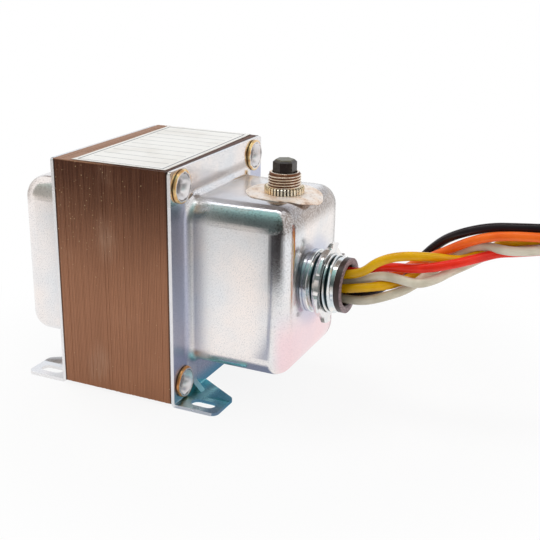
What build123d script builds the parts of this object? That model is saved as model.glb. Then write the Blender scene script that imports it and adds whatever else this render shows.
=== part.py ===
"""Control transformer: a laminated core between two drawn end bells.

The hub-end bell carries a threaded hub with seven leads and a push-to-reset breaker.
Frame: X along the core stack toward the hub, Y to the rear, Z up, millimetres.
The origin is the centre of the four foot slots on the mounting plane.
"""
import os
from math import cos, radians, sin, tan

from build123d import *

os.makedirs("parts", exist_ok=True)

# Core laminations, on the standard E and I grid of one unit
unit = 14.288
lam_w = 5 * unit
lam_h = 6 * unit
leg_h = 2 * unit
window_l = 3 * unit
window_h = unit
yoke_w = (lam_w - window_l) / 2
yoke_y = (window_l + yoke_w) / 2
stack_t = 46.1

# Sheet steel of the end bells, whose feet lift the core by one sheet
sheet = 1.2
core_bottom = sheet
core_top = core_bottom + lam_h
core_z = core_bottom + lam_h / 2
flange_x = stack_t / 2 + sheet

# Coil on a split bobbin around the centre leg
bobbin_clear = 0.25
bobbin_wall = 1.2
bobbin_l = window_l - 2 * bobbin_clear
bobbin_flange_z = leg_h / 2 + window_h - 0.4
bobbin_end_drop = 3.0
bobbin_end_z = bobbin_flange_z - bobbin_end_drop
bobbin_end_r = 8.0
tube_hx = stack_t / 2 + bobbin_clear + bobbin_wall
tube_hz = leg_h / 2 + bobbin_clear + bobbin_wall
tube_corner_r = 1.0
coil_clear = 0.1
coil_hx = 36.9
coil_hz = leg_h / 2 + window_h - 1.7
coil_corner_r = 11.0
wrap_t = 0.5
bobbin_end_x = coil_hx + wrap_t + 0.5
lead_start = coil_hx + wrap_t + 0.6

# Drawn cups of the two end bells, which clear the coil's ends
cup_clear_y = 3.0
cup_clear_z = 1.2
cup_hw = bobbin_l / 2 + cup_clear_y + sheet
cup_hh = leg_h / 2 + window_h + cup_clear_z + sheet
cup_corner_r = 8.0
cup_end_r = 7.0
cup_root_r = 3.0
flange_corner_r = 1.2
hub_depth = 38.5
plain_depth = 23.2
hub_end_x = flange_x + hub_depth
cup_top = core_z + cup_hh

# Feet, bent outward from the flange's lower edge
bend_ir = 0.35
bend_or = bend_ir + sheet
bend_x = flange_x + bend_ir
ear_end = 41.0
ear_root_w = 24.0
ear_tip_w = 14.0
ear_root_in = lam_w / 2 - ear_root_w
ear_tip_in = lam_w / 2 - ear_tip_w
ear_corner_r = 2.8
slot_x = 33.2
slot_edge = 5.52
slot_y = lam_w / 2 - slot_edge
slot_w = 4.8
slot_l = 9.6
gusset_edge = 14.5
gusset_y = lam_w / 2 - gusset_edge
gusset_w = 3.0
gusset_l = 4.0
gusset_h = 5.2

# Corner eyelets
eyelet_y = yoke_y
eyelet_edge = 6.3
eyelet_dz = lam_h / 2 - eyelet_edge
eyelet_r = 3.2
eyelet_bore_r = 2.4
eyelet_rim_r = 5.9
eyelet_rim_h = 1.4
eyelet_mouth_r = 4.3
eyelet_funnel = 1.75
eyelet_clear = 0.1
eyelet_hole_r = eyelet_r + eyelet_clear

# Threaded hub, locknut and insulating bushing on the hub-end bell
hub_bore_r = 8.25
hub_thread_r = 10.65
hub_neck_r = 9.9
hub_hole_r = hub_neck_r + 0.1
hub_collar_r = 12.0
hub_collar_t = 1.25
hub_shoulder_r = 11.6
hub_shoulder_t = 1.6
hub_thread_end = 74.2
hub_chamfer = 0.7
locknut_x = 66.9
locknut_t = 3.1
locknut_root_r = 12.9
locknut_lug_r = 14.3
locknut_lug_w = 5.4
locknut_lugs = 6
locknut_bore_r = hub_thread_r + 0.05
locknut_notch_w = 2.4
locknut_notch_d = 1.1
sleeve_r = hub_bore_r - 0.05
sleeve_bore_r = 7.2
sleeve_l = 7.4
sleeve_face_r = 10.0
sleeve_face_t = 2.2
sleeve_mouth_r = 1.3

# Push-to-reset breaker, clamped through the top of the hub-end cup
breaker_x = 50.3
case_lx = 15.6
case_ly = 30.0
case_h = 19.44
case_wall = 1.3
case_roof = 1.8
case_top = cup_top - sheet
case_bottom = case_top - case_h
case_edge_r = 2.4
case_corner_r = 1.2
base_t = 2.0
base_clear = 0.05
neck_r = 5.95
neck_top = cup_top + 7.96
neck_flange_r = 6.3
neck_flange_t = 1.5
neck_bore_r = 4.62
neck_lip_r = 4.45
neck_lip_t = 2.0
neck_hole_r = neck_r + 0.15
plate_lx = 28.0
plate_ly = 26.0
plate_t = 0.8
nut_r = 7.2
nut_t = 3.0
nut_bore_r = neck_r + 0.03
nut_flutes = 28
nut_flute_r = 0.55
button_flats = 7.5
button_top = cup_top + 12.36
button_bevel = 0.9
collar_r = neck_bore_r - 0.07
collar_bottom = cup_top - 1.74
collar_top = cup_top + 2.46
stem_r = 1.6
stem_bottom = cup_top - 10.04
terminal_y = 9.8
terminal_w = 6.3
terminal_t = 0.8
terminal_top = cup_top - 15.24
terminal_bottom = cup_top - 27.44
terminal_hole_r = 1.1
terminal_hole_up = 3.0
terminal_hole_z = terminal_bottom + terminal_hole_up
terminal_chamfer = 1.0
contact_r = 1.8
contact_t = 0.9
blade_w = 6.0
blade_t = 0.4
blade_rise = 1.2
blade_over = 2.2

# Rating label on top of the core
label_x0 = -17.5
label_x1 = 21.0
label_hy = 35.2
label_t = 0.2

# Leads: routes run from the coil through the hub and down to the mounting plane
lead_d = 3.3
lead_bend_max = 60.0
tip_r = 0.85
tip_l = 7.0
jumper_d = 2.0

yellow_1_route = [
    (lead_start, -2.5, 49), (56, -2, 48), (74, -2.5, 48.5), (82, -2.5, 50.5), (87, -2.5, 55.5),
    (94.5, -1.5, 58.5), (105, 2.5, 58.5), (113, 7.5, 56.8), (119, 13, 58.3), (125.5, 15.5, 62.5),
    (132, 14, 65), (144, 16.5, 66.5), (158, 19, 66), (172, 21.5, 60.5), (182, 23.5, 49),
    (185.5, 25.5, 35), (182, 27.5, 21), (173.5, 28.5, 9.5), (164.5, 28.8, 2.7), (155.5, 29, 2),
]
yellow_2_route = [
    (lead_start, -4, 43.5), (56, -3, 43.5), (74, -3.5, 43.5), (82.5, -3.5, 45.5), (88, -2.5, 46.5),
    (94, 3.5, 46.9), (100.5, 11, 51), (109, 17.5, 57.5), (119, 20, 62.5), (132, 17.5, 67),
    (144, 19, 69.5), (159.5, 20, 69.3), (174.5, 21, 63.5), (185.5, 21, 50), (187.5, 22, 34.5),
    (182.5, 21.5, 21), (173.5, 18.5, 10.5), (164.5, 14.5, 2.8), (155.5, 12.5, 2),
]
white_1_route = [
    (lead_start, 0.5, 45.5), (56, 0.5, 45), (74, 0.2, 45.3), (81, 0.3, 47), (88, -0.5, 50),
    (95, -2.5, 50.5), (101.5, -2.5, 49.5), (107, 0.5, 51), (111, 6, 53.1), (115.5, 12.7, 54.5),
    (122, 18, 58), (132, 17.5, 63), (144, 20.5, 66), (158.5, 23, 66.5), (173.5, 24.5, 62),
    (185.5, 25, 50), (189.3, 25.5, 34.5), (184.5, 25, 18.5), (175, 23, 7), (165.5, 20, 2.5),
    (156, 18.5, 1.9),
]
white_2_route = [
    (lead_start, -1.5, 39), (56, -1.5, 40), (74, -1.5, 39.5), (82, -1.5, 39.5), (90, -1.5, 42.6),
    (98, 1.5, 46), (105, 7.5, 53.4), (112, 10.5, 60), (118.5, 9, 63), (125.5, 8, 63.5),
    (132, 10.5, 63), (144, 14, 63.5), (156.5, 18, 62), (168.5, 22, 56.5), (178, 26, 47),
    (182.7, 29.5, 35.2), (181, 33, 21.5), (173, 37.5, 9.5), (164.5, 41.5, 2.8), (156, 44, 2),
]
red_route = [
    (lead_start, 3, 49), (56, 2.5, 48), (74, 2.5, 48.3), (81, 4, 48.5), (88, 2.5, 52.5),
    (102, -1, 54.5), (113.5, 2, 57.5), (120.5, 8, 59), (125.5, 12, 60.3), (132, 14, 60.8),
    (144, 18, 62.5), (157, 22, 63), (170.5, 25.5, 58.5), (181.5, 27.5, 48), (186.5, 29.5, 34.5),
    (184, 31, 19.5), (174.5, 32, 7.5), (165, 33, 2.5), (155.5, 34, 1.9),
]
orange_route = [
    (lead_start, 5, 44), (56, 4, 44), (74, 4.5, 44), (81, 4.5, 44.2), (88, 5.5, 46.5),
    (96.5, 7.3, 52.8), (107, 12, 57.5), (115, 15.5, 61.5), (122.5, 13.2, 64.8), (132, 10.5, 67),
    (144, 12.5, 67), (157, 15, 64.5), (169.5, 18.5, 57.5), (178, 22, 46.5), (181, 25.5, 35),
    (178.5, 29.5, 23), (171.5, 34, 12), (164, 37.2, 3.2), (155.5, 38.8, 2.1),
]
black_route = [
    (lead_start, 3, 40), (56, 2.5, 40.5), (74, 2.5, 40.5), (81, 4.5, 39.5), (88, 9.5, 43.5),
    (96, 12.5, 51), (104.5, 13, 61), (112.5, 11, 66), (122, 12, 69), (131, 14, 69.5),
    (144, 15, 70.5), (158.5, 16, 68.5), (172.5, 17.5, 61), (181.5, 19.5, 48), (183.5, 22, 35),
    (179, 23.5, 23), (171.5, 24.3, 13), (164.5, 24.5, 3.2), (156, 24, 2.1),
]
lead_routes = [
    yellow_1_route,
    yellow_2_route,
    white_1_route,
    white_2_route,
    red_route,
    orange_route,
    black_route,
]
jumper_route = [
    (breaker_x - 1.45, terminal_y, terminal_bottom + 4.2), (breaker_x - 2.3, 10.6, terminal_bottom - 2.2),
    (43.5, 12.2, terminal_bottom - 4.8), (lead_start + 0.1, 13.2, terminal_bottom - 2.3),
]


def bend_radii(route):
    """Give each corner of a cord route an arc that takes up to 0.45 of its shorter run."""
    radii = []
    for before, here, after in zip(route, route[1:], route[2:]):
        run_in = Vector(*here) - Vector(*before)
        run_out = Vector(*after) - Vector(*here)
        half_turn = radians(run_in.get_angle(run_out) / 2)
        reach = 0.45 * min(run_in.length, run_out.length)
        radii.append(min(reach / tan(half_turn), lead_bend_max))
    return radii


def report_cord(name, solid, length, diameter, radii):
    """Print a cord's tightest arc and its volume against section times length."""
    ideal = 3.14159265 * diameter ** 2 / 4 * length
    ratio = solid.volume / ideal
    print(f"{name}: length {length:.1f}, tightest arc {min(radii):.1f}, volume ratio {ratio:.4f}")


# Core laminations
with BuildPart() as e_laminations:
    with BuildSketch(Plane.YZ.offset(-stack_t / 2)):
        with Locations((lam_w / 2, core_z)):
            Rectangle(lam_w - yoke_w, lam_h, align=(Align.MAX, Align.CENTER))
        with Locations((-window_l / 2, core_z)):
            with GridLocations(0, leg_h + window_h, 1, 2):
                Rectangle(window_l, window_h, align=(Align.MIN, Align.CENTER), mode=Mode.SUBTRACT)
        with Locations((eyelet_y, core_z)):
            with GridLocations(0, 2 * eyelet_dz, 1, 2):
                Circle(eyelet_hole_r, mode=Mode.SUBTRACT)
    extrude(amount=stack_t)
e_laminations.part.label = "e_laminations"
export_step(e_laminations.part, "parts/e_laminations.step")

with BuildPart() as i_laminations:
    with BuildSketch(Plane.YZ.offset(-stack_t / 2)):
        with Locations((-yoke_y, core_z)):
            Rectangle(yoke_w, lam_h)
            with GridLocations(0, 2 * eyelet_dz, 1, 2):
                Circle(eyelet_hole_r, mode=Mode.SUBTRACT)
    extrude(amount=stack_t)
i_laminations.part.label = "i_laminations"
export_step(i_laminations.part, "parts/i_laminations.step")

# Bobbin: a tube around the centre leg with two end flanges and a divider
with BuildPart() as bobbin:
    with BuildSketch(Plane.XZ):
        with Locations((0, core_z)):
            RectangleRounded(2 * tube_hx, 2 * tube_hz, tube_corner_r)
    extrude(amount=bobbin_l / 2, both=True)
    for flange_y in (-bobbin_l / 2, -bobbin_wall / 2, bobbin_l / 2 - bobbin_wall):
        with BuildSketch(Plane.XZ.offset(-flange_y)):
            with Locations((0, core_z)):
                RectangleRounded(2 * bobbin_end_x, 2 * bobbin_end_z, bobbin_end_r)
                Rectangle(stack_t - 2 * bobbin_clear, 2 * bobbin_flange_z)
        extrude(amount=-bobbin_wall)
    with BuildSketch(Plane.XZ):
        with Locations((0, core_z)):
            Rectangle(stack_t + 2 * bobbin_clear, leg_h + 2 * bobbin_clear)
    extrude(amount=bobbin_l / 2, both=True, mode=Mode.SUBTRACT)
bobbin.part.label = "bobbin"
export_step(bobbin.part, "parts/bobbin.step")

# Two windings side by side on the bobbin, each under a tape wrap
coil_l = bobbin_l / 2 - 1.5 * bobbin_wall - 2 * coil_clear
coil_y = bobbin_wall / 2 + coil_clear

with BuildPart() as primary_winding:
    with BuildSketch(Plane.XZ.offset(coil_y)):
        with Locations((0, core_z)):
            RectangleRounded(2 * coil_hx, 2 * coil_hz, coil_corner_r)
            RectangleRounded(
                2 * (tube_hx + coil_clear), 2 * (tube_hz + coil_clear), tube_corner_r, mode=Mode.SUBTRACT
            )
    extrude(amount=coil_l)
primary_winding.part.label = "primary_winding"
export_step(primary_winding.part, "parts/primary_winding.step")

with BuildPart() as secondary_winding:
    with BuildSketch(Plane.XZ.offset(-coil_y)):
        with Locations((0, core_z)):
            RectangleRounded(2 * coil_hx, 2 * coil_hz, coil_corner_r)
            RectangleRounded(
                2 * (tube_hx + coil_clear), 2 * (tube_hz + coil_clear), tube_corner_r, mode=Mode.SUBTRACT
            )
    extrude(amount=-coil_l)
secondary_winding.part.label = "secondary_winding"
export_step(secondary_winding.part, "parts/secondary_winding.step")

with BuildPart() as primary_wrap:
    with BuildSketch(Plane.XZ.offset(coil_y)):
        with Locations((0, core_z)):
            RectangleRounded(2 * (coil_hx + wrap_t), 2 * (coil_hz + wrap_t), coil_corner_r + wrap_t)
            RectangleRounded(2 * coil_hx, 2 * coil_hz, coil_corner_r, mode=Mode.SUBTRACT)
    extrude(amount=coil_l)
primary_wrap.part.label = "primary_wrap"
export_step(primary_wrap.part, "parts/primary_wrap.step")

with BuildPart() as secondary_wrap:
    with BuildSketch(Plane.XZ.offset(-coil_y)):
        with Locations((0, core_z)):
            RectangleRounded(2 * (coil_hx + wrap_t), 2 * (coil_hz + wrap_t), coil_corner_r + wrap_t)
            RectangleRounded(2 * coil_hx, 2 * coil_hz, coil_corner_r, mode=Mode.SUBTRACT)
    extrude(amount=-coil_l)
secondary_wrap.part.label = "secondary_wrap"
export_step(secondary_wrap.part, "parts/secondary_wrap.step")

# One foot ear at +X +Y, a shape that both bells repeat by mirroring
with BuildPart() as foot_ear:
    with BuildSketch(Plane.XZ.offset(-lam_w / 2)):
        with BuildLine():
            Line((stack_t / 2, bend_or), (flange_x, bend_or))
            ThreePointArc(
                (flange_x, bend_or),
                (bend_x - bend_ir * cos(radians(45)), bend_or - bend_ir * sin(radians(45))),
                (bend_x, sheet),
            )
            Line((bend_x, sheet), (bend_x, 0))
            ThreePointArc(
                (bend_x, 0),
                (bend_x - bend_or * cos(radians(45)), bend_or - bend_or * sin(radians(45))),
                (stack_t / 2, bend_or),
            )
        make_face()
    extrude(amount=lam_w / 2 - ear_root_in)
    with BuildSketch(Plane.XY) as ear_plan:
        with BuildLine():
            Polyline(
                (bend_x, lam_w / 2),
                (ear_end, lam_w / 2),
                (ear_end, ear_tip_in),
                (bend_x, ear_root_in),
                close=True,
            )
        make_face()
        fillet(ear_plan.vertices().group_by(Axis.X)[-1], ear_corner_r)
        with Locations((slot_x, slot_y)):
            SlotOverall(slot_l, slot_w, mode=Mode.SUBTRACT)
    extrude(amount=sheet)
    with BuildSketch(Plane.XZ.offset(-gusset_y - gusset_w / 2)):
        with BuildLine():
            Polyline(
                (flange_x - sheet / 2, gusset_h),
                (flange_x, gusset_h),
                (flange_x + gusset_l, sheet),
                (flange_x + gusset_l, sheet / 2),
                (bend_x, sheet / 2),
                (flange_x - sheet / 2, bend_or),
                close=True,
            )
        make_face()
    extrude(amount=gusset_w)

# Insides of the two drawn cups, one sheet within the outside, cut from the bells
with BuildPart() as hub_void:
    with BuildSketch(Plane.YZ.offset(stack_t / 2)):
        with Locations((0, core_z)):
            RectangleRounded(2 * (cup_hw - sheet), 2 * (cup_hh - sheet), cup_corner_r - sheet)
    extrude(amount=hub_depth)
    fillet(hub_void.edges().group_by(Axis.X)[-1], cup_end_r - sheet)

with BuildPart() as plain_void:
    with BuildSketch(Plane.YZ.offset(-stack_t / 2)):
        with Locations((0, core_z)):
            RectangleRounded(2 * (cup_hw - sheet), 2 * (cup_hh - sheet), cup_corner_r - sheet)
    extrude(amount=-plain_depth)
    fillet(plain_void.edges().group_by(Axis.X)[0], cup_end_r - sheet)

# Hub-end bell: flange and drawn cup of one sheet, feet, eyelet, hub and breaker holes
with BuildPart() as hub_end_bell:
    with BuildSketch(Plane.YZ.offset(stack_t / 2)) as hub_flange:
        with Locations((0, bend_or)):
            Rectangle(lam_w, core_top - bend_or, align=(Align.CENTER, Align.MIN))
        with Locations((0, core_bottom)):
            Rectangle(2 * ear_root_in, bend_or - core_bottom, align=(Align.CENTER, Align.MIN))
        fillet(hub_flange.vertices().group_by(Axis.Y)[-1], flange_corner_r)
    extrude(amount=sheet)
    with BuildSketch(Plane.YZ.offset(flange_x)):
        with Locations((0, core_z)):
            RectangleRounded(2 * cup_hw, 2 * cup_hh, cup_corner_r)
    extrude(amount=hub_depth)
    fillet(hub_end_bell.edges().group_by(Axis.X)[-1], cup_end_r)
    fillet(
        hub_end_bell.edges()
        .filter_by_position(Axis.X, flange_x - 0.01, flange_x + 0.01)
        .filter_by(lambda e: abs(e.center().Y) < cup_hw + 0.1 and abs(e.center().Z - core_z) < cup_hh + 0.1),
        cup_root_r,
    )
    add(hub_void.part, mode=Mode.SUBTRACT)
    fillet(
        hub_end_bell.edges()
        .filter_by_position(Axis.X, stack_t / 2 - 0.01, stack_t / 2 + 0.01)
        .filter_by(lambda e: abs(e.center().Y) < cup_hw and abs(e.center().Z - core_z) < cup_hh),
        cup_root_r + sheet,
    )
    add(foot_ear.part)
    add(foot_ear.part.mirror(Plane.XZ))
    with BuildSketch(Plane.YZ.offset(stack_t / 2)):
        with Locations((0, core_z)):
            with GridLocations(2 * eyelet_y, 2 * eyelet_dz, 2, 2):
                Circle(eyelet_hole_r)
    extrude(amount=sheet, mode=Mode.SUBTRACT)
    with BuildSketch(Plane.YZ.offset(hub_end_x - sheet)):
        with Locations((0, core_z)):
            Circle(hub_hole_r)
    extrude(amount=sheet, mode=Mode.SUBTRACT)
    with BuildSketch(Plane.XY.offset(case_top)):
        with Locations((breaker_x, 0)):
            Circle(neck_hole_r)
    extrude(amount=sheet, mode=Mode.SUBTRACT)
hub_end_bell.part.label = "hub_end_bell"
export_step(hub_end_bell.part, "parts/hub_end_bell.step")

# Plain end bell: the shallower cup, with no holes but the eyelets and slots
with BuildPart() as plain_end_bell:
    with BuildSketch(Plane.YZ.offset(-flange_x)) as plain_flange:
        with Locations((0, bend_or)):
            Rectangle(lam_w, core_top - bend_or, align=(Align.CENTER, Align.MIN))
        with Locations((0, core_bottom)):
            Rectangle(2 * ear_root_in, bend_or - core_bottom, align=(Align.CENTER, Align.MIN))
        fillet(plain_flange.vertices().group_by(Axis.Y)[-1], flange_corner_r)
    extrude(amount=sheet)
    with BuildSketch(Plane.YZ.offset(-flange_x)):
        with Locations((0, core_z)):
            RectangleRounded(2 * cup_hw, 2 * cup_hh, cup_corner_r)
    extrude(amount=-plain_depth)
    fillet(plain_end_bell.edges().group_by(Axis.X)[0], cup_end_r)
    fillet(
        plain_end_bell.edges()
        .filter_by_position(Axis.X, -flange_x - 0.01, -flange_x + 0.01)
        .filter_by(lambda e: abs(e.center().Y) < cup_hw + 0.1 and abs(e.center().Z - core_z) < cup_hh + 0.1),
        cup_root_r,
    )
    add(plain_void.part, mode=Mode.SUBTRACT)
    fillet(
        plain_end_bell.edges()
        .filter_by_position(Axis.X, -stack_t / 2 - 0.01, -stack_t / 2 + 0.01)
        .filter_by(lambda e: abs(e.center().Y) < cup_hw and abs(e.center().Z - core_z) < cup_hh),
        cup_root_r + sheet,
    )
    add(foot_ear.part.mirror(Plane.YZ))
    add(foot_ear.part.mirror(Plane.YZ).mirror(Plane.XZ))
    with BuildSketch(Plane.YZ.offset(-flange_x)):
        with Locations((0, core_z)):
            with GridLocations(2 * eyelet_y, 2 * eyelet_dz, 2, 2):
                Circle(eyelet_hole_r)
    extrude(amount=sheet, mode=Mode.SUBTRACT)
plain_end_bell.part.label = "plain_end_bell"
export_step(plain_end_bell.part, "parts/plain_end_bell.step")

# Eyelets: four hollow rivets through the bells and the core, rolled over at both ends
eyelet_axis = Axis((0, eyelet_y, core_z + eyelet_dz), (1, 0, 0))

with BuildPart() as eyelet:
    with BuildSketch(Plane.XY.offset(core_z + eyelet_dz)) as eyelet_half:
        with BuildLine():
            Polyline(
                (0, eyelet_y + eyelet_bore_r),
                (flange_x + eyelet_rim_h - eyelet_funnel, eyelet_y + eyelet_bore_r),
                (flange_x + eyelet_rim_h, eyelet_y + eyelet_mouth_r),
                (flange_x + eyelet_rim_h, eyelet_y + eyelet_rim_r - 0.5),
                (flange_x + eyelet_rim_h / 2, eyelet_y + eyelet_rim_r),
                (flange_x, eyelet_y + eyelet_rim_r),
                (flange_x, eyelet_y + eyelet_r),
                (0, eyelet_y + eyelet_r),
                close=True,
            )
        make_face()
    revolve(axis=eyelet_axis)
    mirror(about=Plane.YZ)

with BuildPart() as corner_eyelets:
    with Locations(
        (0, 0, 0), (0, -2 * eyelet_y, 0), (0, 0, -2 * eyelet_dz), (0, -2 * eyelet_y, -2 * eyelet_dz)
    ):
        add(eyelet.part)
corner_eyelets.part.label = "corner_eyelets"
export_step(corner_eyelets.part, "parts/corner_eyelets.step")

# Rating label, a bare printed card
with BuildPart() as top_label:
    with BuildSketch(Plane.XY.offset(core_top)):
        with Locations(((label_x0 + label_x1) / 2, 0)):
            Rectangle(label_x1 - label_x0, 2 * label_hy)
    extrude(amount=label_t)
top_label.part.label = "top_label"
export_step(top_label.part, "parts/top_label.step")

# Hub nipple: turned collar inside, neck through the wall, shoulder and thread outside
hub_axis = Axis((0, 0, core_z), (1, 0, 0))
hub_wall_x = hub_end_x - sheet

with BuildPart() as hub_nipple:
    with BuildSketch(Plane.XY.offset(core_z)):
        with BuildLine():
            Polyline(
                (hub_wall_x - hub_collar_t, hub_bore_r),
                (hub_wall_x - hub_collar_t, hub_collar_r),
                (hub_wall_x, hub_collar_r),
                (hub_wall_x, hub_neck_r),
                (hub_end_x, hub_neck_r),
                (hub_end_x, hub_shoulder_r),
                (hub_end_x + hub_shoulder_t, hub_shoulder_r),
                (hub_end_x + hub_shoulder_t, hub_thread_r),
                (hub_thread_end - hub_chamfer, hub_thread_r),
                (hub_thread_end, hub_thread_r - hub_chamfer),
                (hub_thread_end, hub_bore_r),
                close=True,
            )
        make_face()
    revolve(axis=hub_axis)
hub_nipple.part.label = "hub_nipple"
export_step(hub_nipple.part, "parts/hub_nipple.step")

# Locknut: a ring with drive lugs, one drive notch between each pair
with BuildPart() as hub_locknut:
    with BuildSketch(Plane.YZ.offset(locknut_x)) as locknut_plan:
        with Locations((0, core_z)):
            Circle(locknut_root_r)
            with PolarLocations(locknut_lug_r, locknut_lugs, start_angle=90):
                Rectangle(2 * (locknut_lug_r - hub_thread_r), locknut_lug_w)
            Circle(locknut_lug_r, mode=Mode.INTERSECT)
            with PolarLocations(locknut_root_r, locknut_lugs, start_angle=90 + 180 / locknut_lugs):
                Rectangle(2 * locknut_notch_d, locknut_notch_w, mode=Mode.SUBTRACT)
            Circle(locknut_bore_r, mode=Mode.SUBTRACT)
    extrude(amount=locknut_t)
    chamfer(hub_locknut.edges().group_by(Axis.X)[-1].filter_by(GeomType.CIRCLE), 0.3)
hub_locknut.part.label = "hub_locknut"
export_step(hub_locknut.part, "parts/hub_locknut.step")

# Insulating bushing in the mouth of the hub
with BuildPart() as insulating_bushing:
    with BuildSketch(Plane.XY.offset(core_z)) as bushing_half:
        with BuildLine():
            Polyline(
                (hub_thread_end - sleeve_l, sleeve_bore_r),
                (hub_thread_end - sleeve_l, sleeve_r),
                (hub_thread_end, sleeve_r),
                (hub_thread_end, sleeve_face_r),
                (hub_thread_end + sleeve_face_t, sleeve_face_r),
                (hub_thread_end + sleeve_face_t, sleeve_bore_r),
                close=True,
            )
        make_face()
        mouth = bushing_half.vertices().group_by(Axis.X)[-1]
        fillet(mouth.sort_by(Axis.Y)[0], sleeve_mouth_r)
        fillet(mouth.sort_by(Axis.Y)[-1], sleeve_mouth_r / 2)
    revolve(axis=hub_axis)
insulating_bushing.part.label = "insulating_bushing"
export_step(insulating_bushing.part, "parts/insulating_bushing.step")

# Breaker case: a moulded box open below, its roof against the cup's top wall
with BuildPart() as breaker_case:
    with BuildSketch(Plane.XY.offset(case_bottom)):
        with Locations((breaker_x, 0)):
            RectangleRounded(case_lx, case_ly, case_corner_r)
    extrude(amount=case_top - case_bottom)
    fillet(breaker_case.edges().group_by(Axis.Z)[-1], case_edge_r)
    with BuildSketch(Plane.XY.offset(case_bottom)):
        with Locations((breaker_x, 0)):
            Rectangle(case_lx - 2 * case_wall, case_ly - 2 * case_wall)
    extrude(amount=case_top - case_roof - case_bottom, mode=Mode.SUBTRACT)
    with BuildSketch(Plane.XY.offset(case_top - case_roof)):
        with Locations((breaker_x, 0)):
            Circle(neck_r + 0.05)
    extrude(amount=case_roof, mode=Mode.SUBTRACT)
breaker_case.part.label = "breaker_case"
export_step(breaker_case.part, "parts/breaker_case.step")

# Breaker base: closes the case and carries the two blade terminals
with BuildPart() as breaker_base:
    with BuildSketch(Plane.XY.offset(case_bottom)):
        with Locations((breaker_x, 0)):
            Rectangle(case_lx - 2 * case_wall - 2 * base_clear, case_ly - 2 * case_wall - 2 * base_clear)
            with GridLocations(0, 2 * terminal_y, 1, 2):
                Rectangle(terminal_t + 2 * base_clear, terminal_w + 2 * base_clear, mode=Mode.SUBTRACT)
    extrude(amount=base_t)
breaker_base.part.label = "breaker_base"
export_step(breaker_base.part, "parts/breaker_base.step")

# Blade terminals, pierced at the lower end for the wires
with BuildPart() as breaker_terminals:
    with BuildSketch(Plane.YZ.offset(breaker_x - terminal_t / 2)) as terminal_plan:
        with Locations((-terminal_y, terminal_bottom), (terminal_y, terminal_bottom)):
            Rectangle(terminal_w, terminal_top - terminal_bottom, align=(Align.CENTER, Align.MIN))
        chamfer(terminal_plan.vertices().group_by(Axis.Y)[0], terminal_chamfer)
        with Locations((-terminal_y, terminal_hole_z), (terminal_y, terminal_hole_z)):
            Circle(terminal_hole_r, mode=Mode.SUBTRACT)
    extrude(amount=terminal_t)
breaker_terminals.part.label = "breaker_terminals"
export_step(breaker_terminals.part, "parts/breaker_terminals.step")

# Contact rivets on the terminals, under the bimetal blade
with BuildPart() as breaker_contacts:
    with BuildSketch(Plane.XY.offset(terminal_top)):
        with Locations((breaker_x, -terminal_y), (breaker_x, terminal_y)):
            Circle(contact_r)
    extrude(amount=contact_t)
breaker_contacts.part.label = "breaker_contacts"
export_step(breaker_contacts.part, "parts/breaker_contacts.step")

# Bimetal blade, bowed between the contacts
blade_z = terminal_top + contact_t
blade_end = terminal_y + blade_over

with BuildPart() as bimetal_blade:
    with BuildSketch(Plane.YZ.offset(breaker_x - blade_w / 2)):
        with BuildLine():
            Line((-blade_end, blade_z + blade_t), (-blade_end, blade_z))
            Line((-blade_end, blade_z), (-terminal_y + contact_r, blade_z))
            ThreePointArc(
                (-terminal_y + contact_r, blade_z),
                (0, blade_z + blade_rise),
                (terminal_y - contact_r, blade_z),
            )
            Line((terminal_y - contact_r, blade_z), (blade_end, blade_z))
            Line((blade_end, blade_z), (blade_end, blade_z + blade_t))
            Line((blade_end, blade_z + blade_t), (terminal_y - contact_r, blade_z + blade_t))
            ThreePointArc(
                (terminal_y - contact_r, blade_z + blade_t),
                (0, blade_z + blade_rise + blade_t),
                (-terminal_y + contact_r, blade_z + blade_t),
            )
            Line((-terminal_y + contact_r, blade_z + blade_t), (-blade_end, blade_z + blade_t))
        make_face()
    extrude(amount=blade_w)
bimetal_blade.part.label = "bimetal_blade"
export_step(bimetal_blade.part, "parts/bimetal_blade.step")

# Breaker neck: the threaded bushing that guides the button, with a lip that keeps it in
neck_bottom = case_top - case_roof - neck_flange_t

with BuildPart() as breaker_neck:
    with BuildSketch(Plane.XZ):
        with BuildLine():
            Polyline(
                (breaker_x + neck_bore_r, neck_bottom),
                (breaker_x + neck_flange_r, neck_bottom),
                (breaker_x + neck_flange_r, neck_bottom + neck_flange_t),
                (breaker_x + neck_r, neck_bottom + neck_flange_t),
                (breaker_x + neck_r, neck_top - 0.5),
                (breaker_x + neck_r - 0.5, neck_top),
                (breaker_x + neck_lip_r, neck_top),
                (breaker_x + neck_lip_r, neck_top - neck_lip_t),
                (breaker_x + neck_bore_r, neck_top - neck_lip_t),
                close=True,
            )
        make_face()
    revolve(axis=Axis((breaker_x, 0, 0), (0, 0, 1)))
breaker_neck.part.label = "breaker_neck"
export_step(breaker_neck.part, "parts/breaker_neck.step")

# Reset button: hexagonal head, guided collar and plunger stem
with BuildPart() as breaker_button:
    with BuildSketch(Plane.XY.offset(stem_bottom)):
        with Locations((breaker_x, 0)):
            Circle(stem_r)
    extrude(amount=collar_bottom - stem_bottom)
    with BuildSketch(Plane.XY.offset(collar_bottom)):
        with Locations((breaker_x, 0)):
            Circle(collar_r)
    extrude(amount=collar_top - collar_bottom)
    with BuildSketch(Plane.XY.offset(collar_top)):
        with Locations((breaker_x, 0)):
            RegularPolygon(button_flats / 2, 6, major_radius=False, rotation=30)
    extrude(amount=button_top - collar_top)
    chamfer(breaker_button.edges().group_by(Axis.Z)[-1], button_bevel)
breaker_button.part.label = "breaker_button"
export_step(breaker_button.part, "parts/breaker_button.step")

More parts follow.
